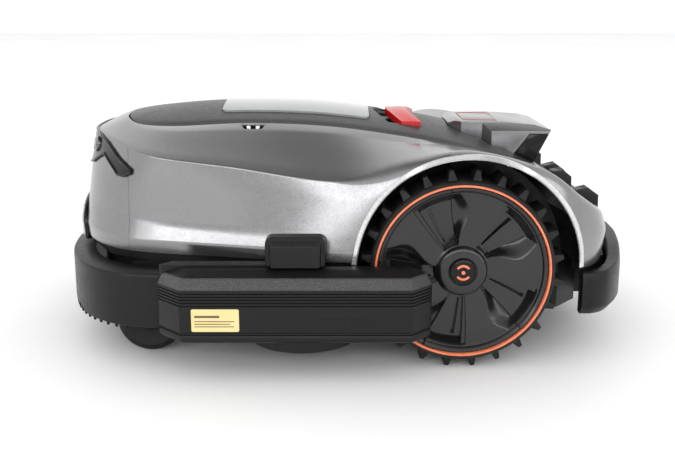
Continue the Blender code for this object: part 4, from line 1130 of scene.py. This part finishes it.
def tyre():
    seat = RIM_R + .0003
    profile = [(seat, .0584), (seat, .0012), (.1035, .0012), (.1052, .0022), (TYRE_R, .0045), (TYRE_R, .059),
               (.1054, .0622), (.1042, .0642), (.1028, WHEEL_W), (.1014, .0646), (.1012, .0584)]
    body = lathe("tyre_body", profile, RUBBER, 192)
    lugs = []
    for i in range(LUGS):
        spin = Matrix.Rotation(math.tau * (i + .5) / LUGS, 4, "Z")
        rows = [[spin @ Vector((radius, *corner)) for corner in rectangle(-half, half, low, high)]
                for radius, half, low, high in LUG_SECTIONS]
        lugs.append(soften(loft("lug", rows), .0007, 2, 35))
    return merge("tyre_pattern", [body, *lugs], RUBBER)


def accent_ring():
    profile = [(.0984, .0588), (.0984, .0648), (.0989, .0656), (.1, .0659), (.1008, .0655), (.1011, .0648),
               (.1011, .0588)]
    return lathe("ring_pattern", profile, COPPER, 192)


def hub_cap():
    profile = [(0, .0614), (.0149, .0614), (.0149, .065), (.0144, .066), (.0134, .0664), (.0128, .0658),
               (.006, .0661), (0, .0662)]
    return lathe("cap", profile, PIANO, 96)


def drive_wheels():
    patterns = {"rim": (rim, "dark_grey", 24), "tyre": (tyre, "tyre_rubber", 34),
                "accent_ring": (accent_ring, "copper_accent", 40), "hub_cap": (hub_cap, "gloss_black", 30)}
    for name, (maker, slot, sharp) in patterns.items():
        for side_name, side in SIDES.items():
            piece = wheel_place(maker(), side)
            piece.name = name + "_face_" + side_name
            show(piece, "wheel_" + side_name, slot, name + "_" + side_name, sharp=sharp)
    for side_name, side in SIDES.items():
        show(wheel_place(emblem(), side), "wheel_" + side_name, "copper_accent")


def emblem():
    """Two short arcs and a dot, a plain ornament."""
    dot = [(0, .0655), (.0022, .0655), (.0022, .0666), (.0018, .0669), (0, .0669)]
    pieces = [lathe("dot", dot, steps=32)]
    for start in (35, 215):
        outline = []
        for radius, order in ((.0066, 1), (.0092, -1)):
            turns = [math.radians(start + 110 * i / 14) for i in range(15)][::order]
            outline += [(radius * math.cos(a), radius * math.sin(a)) for a in turns]
        pieces.append(soften(prism("arc", outline, .0655, .0667), .0002, 2))
    return merge("hub_emblem", pieces, COPPER)


# --- casters
def casters():
    tread = [(.004, -.014), (.033, -.014), (.036, -.0132), (.0385, -.0112), (.0405, -.0078), (.0418, -.003),
             (.0418, .003), (.0405, .0078), (.0385, .0112), (.036, .0132), (.033, .014), (.03, .0128),
             (.015, .0122), (.012, .014), (.004, .014)]
    for side_name, side in SIDES.items():
        wheel = lathe("caster_tyre_" + side_name, tread, WHEEL_RUBBER, 96)
        place = Matrix.Translation(middle_of("caster_wheel_" + side_name))
        moved(wheel, place @ Matrix.Rotation(-math.pi / 2, 4, "X"))
        show(wheel, "roller_" + side_name, "wheel_rubber", "caster_wheel_" + side_name, sharp=28)


# --- edge trimmer
TRIM_X, TRIM_Y = .04, .2
TRIM_LOW, TRIM_BACK, TRIM_FACE = .06, .2345, .27
BASE_LOW, BASE_TOP, GUARD_LOW, TRIM_REACH = .048, .0596, .0345, .056
TRIM_PLAN = [(-.083, TRIM_FACE), (.174, TRIM_FACE), (.203, TRIM_FACE - .03), (.203, TRIM_BACK),
             (-.106, TRIM_BACK), (-.106, TRIM_FACE - .024)]
GROOVES, GROOVE_LOW, GROOVE_PITCH = 5, .0912, .0035
SHELF = [(.06, TRIM_BACK + .003), (.06, .2205), (.188, .2205), (.201, TRIM_BACK), (.198, TRIM_BACK + .003)]
SHELF_LOW, SHELF_TOP = .1185, .13  # shelf of the housing over the bumper's ledge


def trim_outline(shrink, radius=.0022):
    drawn_in = [(x, TRIM_BACK if i in (3, 4) else max(y, TRIM_BACK + .0006))
                for i, (x, y) in enumerate(inset(TRIM_PLAN, shrink))]
    return rounded(drawn_in, radius, 4)


def trimmer_housing():
    """The trimmer's box: an upright face with grooves round it, a grained slope whose lighter speckled colour
    is painted sheen, and a flatter top above.
    """
    levels = [(.0012, TRIM_LOW), (.0002, TRIM_LOW + .0012), (0, TRIM_LOW + .003)]
    for i in range(GROOVES):
        z = GROOVE_LOW + GROOVE_PITCH * i
        levels += [(0, z), (.0016, z + .0003), (.0016, z + .0016), (0, z + .0019)]
    levels += [(0, .1092), (.0003, .1101), (.001, .1112), (.0052, .1198), (.0062, .121), (.0076, .1219),
               (.0215, .1272), (.024, .1276)]
    housing = loft("housing", [[(x, y, z) for x, y in trim_outline(shrink)] for shrink, z in levels], BLACK)
    combine(housing, [prism("shelf", SHELF, SHELF_LOW, SHELF_TOP)], "UNION")
    housing.data.materials.append(TEXTURED_PAINTED_SHEEN)
    # the slope's faces take the grained black whose lighter colour is painted sheen
    for face in housing.data.polygons:
        if .11 < face.center.z < .1215 and face.center.y > TRIM_BACK + .004:
            face.material_index = 1
    show(housing, "chassis", "black_plastic", "trimmer_housing", sharp=20)


def trimmer_base():
    """Foot strip with a rounded lip, and the round guard of the cutter under it."""
    levels = [(.006, BASE_LOW), (.003, BASE_LOW + .0004), (.001, BASE_LOW + .002), (.0004, BASE_LOW + .0045),
              (.0004, BASE_TOP - .004), (.0012, BASE_TOP - .0024), (.0026, BASE_TOP - .0016),
              (.003, BASE_TOP)]
    base = loft("base", [[(x, y, z) for x, y in trim_outline(shrink)] for shrink, z in levels], BLACK)
    inner, outer = TRIM_REACH + .003, TRIM_REACH + .008
    guard = lathe("guard", [(inner, GUARD_LOW), (outer - .0008, GUARD_LOW), (outer, GUARD_LOW + .001),
                            (outer, BASE_LOW + .0016), (0, BASE_LOW + .0016), (0, BASE_LOW + .0004),
                            (inner, BASE_LOW + .0004)], steps=96)
    moved(guard, Matrix.Translation((TRIM_X, TRIM_Y, 0)))
    combine(base, [guard], "UNION")
    combine(base, [disc("well", inner, (TRIM_X, TRIM_Y, .02), (TRIM_X, TRIM_Y, .07), segments=96)])
    show(base, "chassis", "black_plastic", "trimmer_base", sharp=28)


def trimmer_bracket():
    """Boss that ties the trimmer to the body, with a raised pad whose top is chamfered."""
    low, high = local_box("trimmer_bracket")
    body = rounded([(low.x, low.z), (high.x, low.z), (high.x, high.z - .005), (high.x - .0045, high.z),
                    (low.x + .0045, high.z), (low.x, high.z - .005)], .003, 6)
    face = high.y - .0042
    loops = [[(x, y, z) for x, z in inset(body, shrink)] for shrink, y in
             ((0, low.y), (0, face - .0016), (.0005, face - .0006), (.0016, face))]
    boss = loft("boss", loops, BLACK)
    left, right, top = low.x + .005, high.x - .005, high.z - .0048
    pad_rows = []
    for shrink, drop, y in ((0, 0, face - .002), (0, 0, face), (.001, .0048, high.y - .0006),
                            (.0016, .0056, high.y - .0002)):
        pad_rows.append([(x, y, z) for x, z in rounded(
            [(left + shrink, low.z), (right - shrink, low.z), (right - shrink, top - drop - .002),
             (right - shrink - .003, top - drop), (left + shrink + .003, top - drop),
             (left + shrink, top - drop - .002)], .0016)])
    pad = loft("pad", pad_rows, BLACK)
    piece = merge("bracket_boss", [boss, pad], BLACK)
    show(piece, "chassis", "black_plastic", "trimmer_bracket", sharp=26)


def face_plate(name, outline, thick, finish):
    """A thin plate on the trimmer's outer face, outline as (x, z)."""
    return prism(name, outline, TRIM_FACE - .0004, TRIM_FACE + thick, finish, axis="Y")


def trimmer_marks():
    """A plain sticker with a few bars of print, and raised dashes on the face."""
    left, right, low, high = .1085, .1612, .0626, .0886
    sticker = face_plate("sticker", rounded(rectangle(left, right, low, high), .0022), .0003, STICKER)
    show(sticker, "chassis", "black_plastic")
    marks = []
    bars = [(.08, .13, .0013), (.0745, .114, .0005), (.0715, .118, .0005), (.0685, .114, .0005)]
    for z, x_end, half in bars:
        marks.append(face_plate("bar", rectangle(x_end, right - .0035, z - half, z + half), .0004, PRINT))
    show(merge("sticker_print_marks", marks, PRINT), "chassis", "black_plastic")
    dashes = []
    for x in (-.03, -.012, .006):
        corners = [(x, .0745), (x + .014, .0745), (x + .0155, .0775), (x + .0015, .0775)]
        dashes.append(face_plate("dash", rounded(corners, .0006), .0005, BLACK))
    show(merge("face_dashes", dashes, BLACK), "chassis", "black_plastic")


# --- what the CAD shows as it is
INNER = [
    (BLACK, .0008, ["chassis_tray", "skid_plate", "caster_fork_left", "caster_fork_right"]),
    (WRAP, .0015, ["battery_pack"]),
    (BOARD, .0004, ["control_board"]),
    (STEEL, .0015, ["blade_motor", "drive_motor_left", "drive_motor_right"]),
    (STEEL, .001, ["trimmer_motor"]),
    (STEEL, .0006, ["axle_left", "axle_right"]),
    (STEEL, .0004, ["lift_screw"]),
    (STEEL, .0003, ["caster_axle_left", "caster_axle_right"]),
    (DECK, .0008, ["lift_carriage"]),
    (DECK, .0004, ["blade_disc", "trimmer_disc"]),
    (CHROME, .0002, ["cutting_blade_1", "cutting_blade_2", "cutting_blade_3"]),
    (CHROME, .0001, ["trimmer_blade_1", "trimmer_blade_2"]),
]


def inner_pieces():
    """Gives the CAD nodes that show as they are their finishes, and rounds their edges."""
    for finish, bevel, nodes in INNER:
        for node in nodes:
            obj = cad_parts[node]
            obj.data.materials.clear()
            obj.data.materials.append(finish)
            soften(obj, bevel, 2, 34)


# --- set
def floor():
    bm = bmesh.new()
    bmesh.ops.create_grid(bm, x_segments=1, y_segments=1, size=12)
    pale = surface("pale_floor", (.86, .86, .86), (.9, .9, .9), (.55, .65), (80, 0.0, .001), 1.0)
    ground = from_bmesh("floor", bm, pale, outward=False)
    ground.location = (0, 0, 0)


def area_light(name, place, aim, size, power, size_y=None, glossy=True):
    data = bpy.data.lights.new(name, "AREA")
    data.shape = "RECTANGLE"
    data.size, data.size_y = size, size_y or size
    data.energy = power
    obj = link(name, data)
    obj.location = place
    obj.rotation_euler = (Vector(aim) - Vector(place)).to_track_quat("-Z", "Y").to_euler()
    obj.visible_glossy = glossy


SKY, SKY_TOP, SKY_FADE = 1.1, .2, (.7, .97)  # strengths, and where the fade to the dim top runs
OVERHEAD, STRIP_POWER, PANEL_POWER = 1000.0, 34.0, 5.0  # watts
EYE, LENS, TILT = (0, 1.25, .417), 50, 13.38  # metres, millimetres, degrees below level


def studio():
    """Soft white surroundings, dim overhead, a broad lamp above, and a long strip and two panels beside."""
    world = bpy.data.worlds.new("studio")
    world.use_nodes = True
    tree = world.node_tree
    background = tree.nodes["Background"]
    place = tree.nodes.new("ShaderNodeTexCoord").outputs["Generated"]
    split = tree.nodes.new("ShaderNodeSeparateXYZ")
    tree.links.new(place, split.inputs["Vector"])
    fade = tree.nodes.new("ShaderNodeValToRGB")
    for element, where, level in zip(fade.color_ramp.elements, SKY_FADE, (1.0, SKY_TOP)):
        element.position = where
        element.color = (level, level, level, 1)
    tree.links.new(split.outputs["Z"], fade.inputs["Fac"])
    tree.links.new(fade.outputs["Color"], background.inputs["Color"])
    background.inputs["Strength"].default_value = SKY
    bpy.context.scene.world = world
    bpy.context.scene.view_settings.view_transform = "Standard"
    area_light("overhead", (0, 0, 9.0), (0, 0, 0), 24.0, OVERHEAD, glossy=False)
    area_light("side_strip", (.2, 2.9, 1.32), (0, .2, .15), 5.0, STRIP_POWER, .55)
    for x in (2.3, -2.3):
        area_light("corner_panel", (x, 1.9, .9), (0, .1, .15), .9, PANEL_POWER, 1.1)


def camera():
    data = bpy.data.cameras.new("camera")
    data.lens, data.sensor_width = LENS, 36
    data.clip_start = .05
    eye = link("camera", data)
    eye.location = ORIGIN + Vector(EYE)
    eye.rotation_euler = (math.radians(90 - TILT), 0, math.radians(180))
    bpy.context.scene.camera = eye


top_shell()
rain_sensor()
arch_lips()
deck_panel()
control_lid()
stop_button()
keypad()
rear_module()
louvres()
camera_bezel()
nose_panel()
front_bumper()
rear_bumper()
drive_wheels()
casters()
trimmer_housing()
trimmer_base()
trimmer_bracket()
trimmer_marks()
inner_pieces()
floor()
studio()
camera()
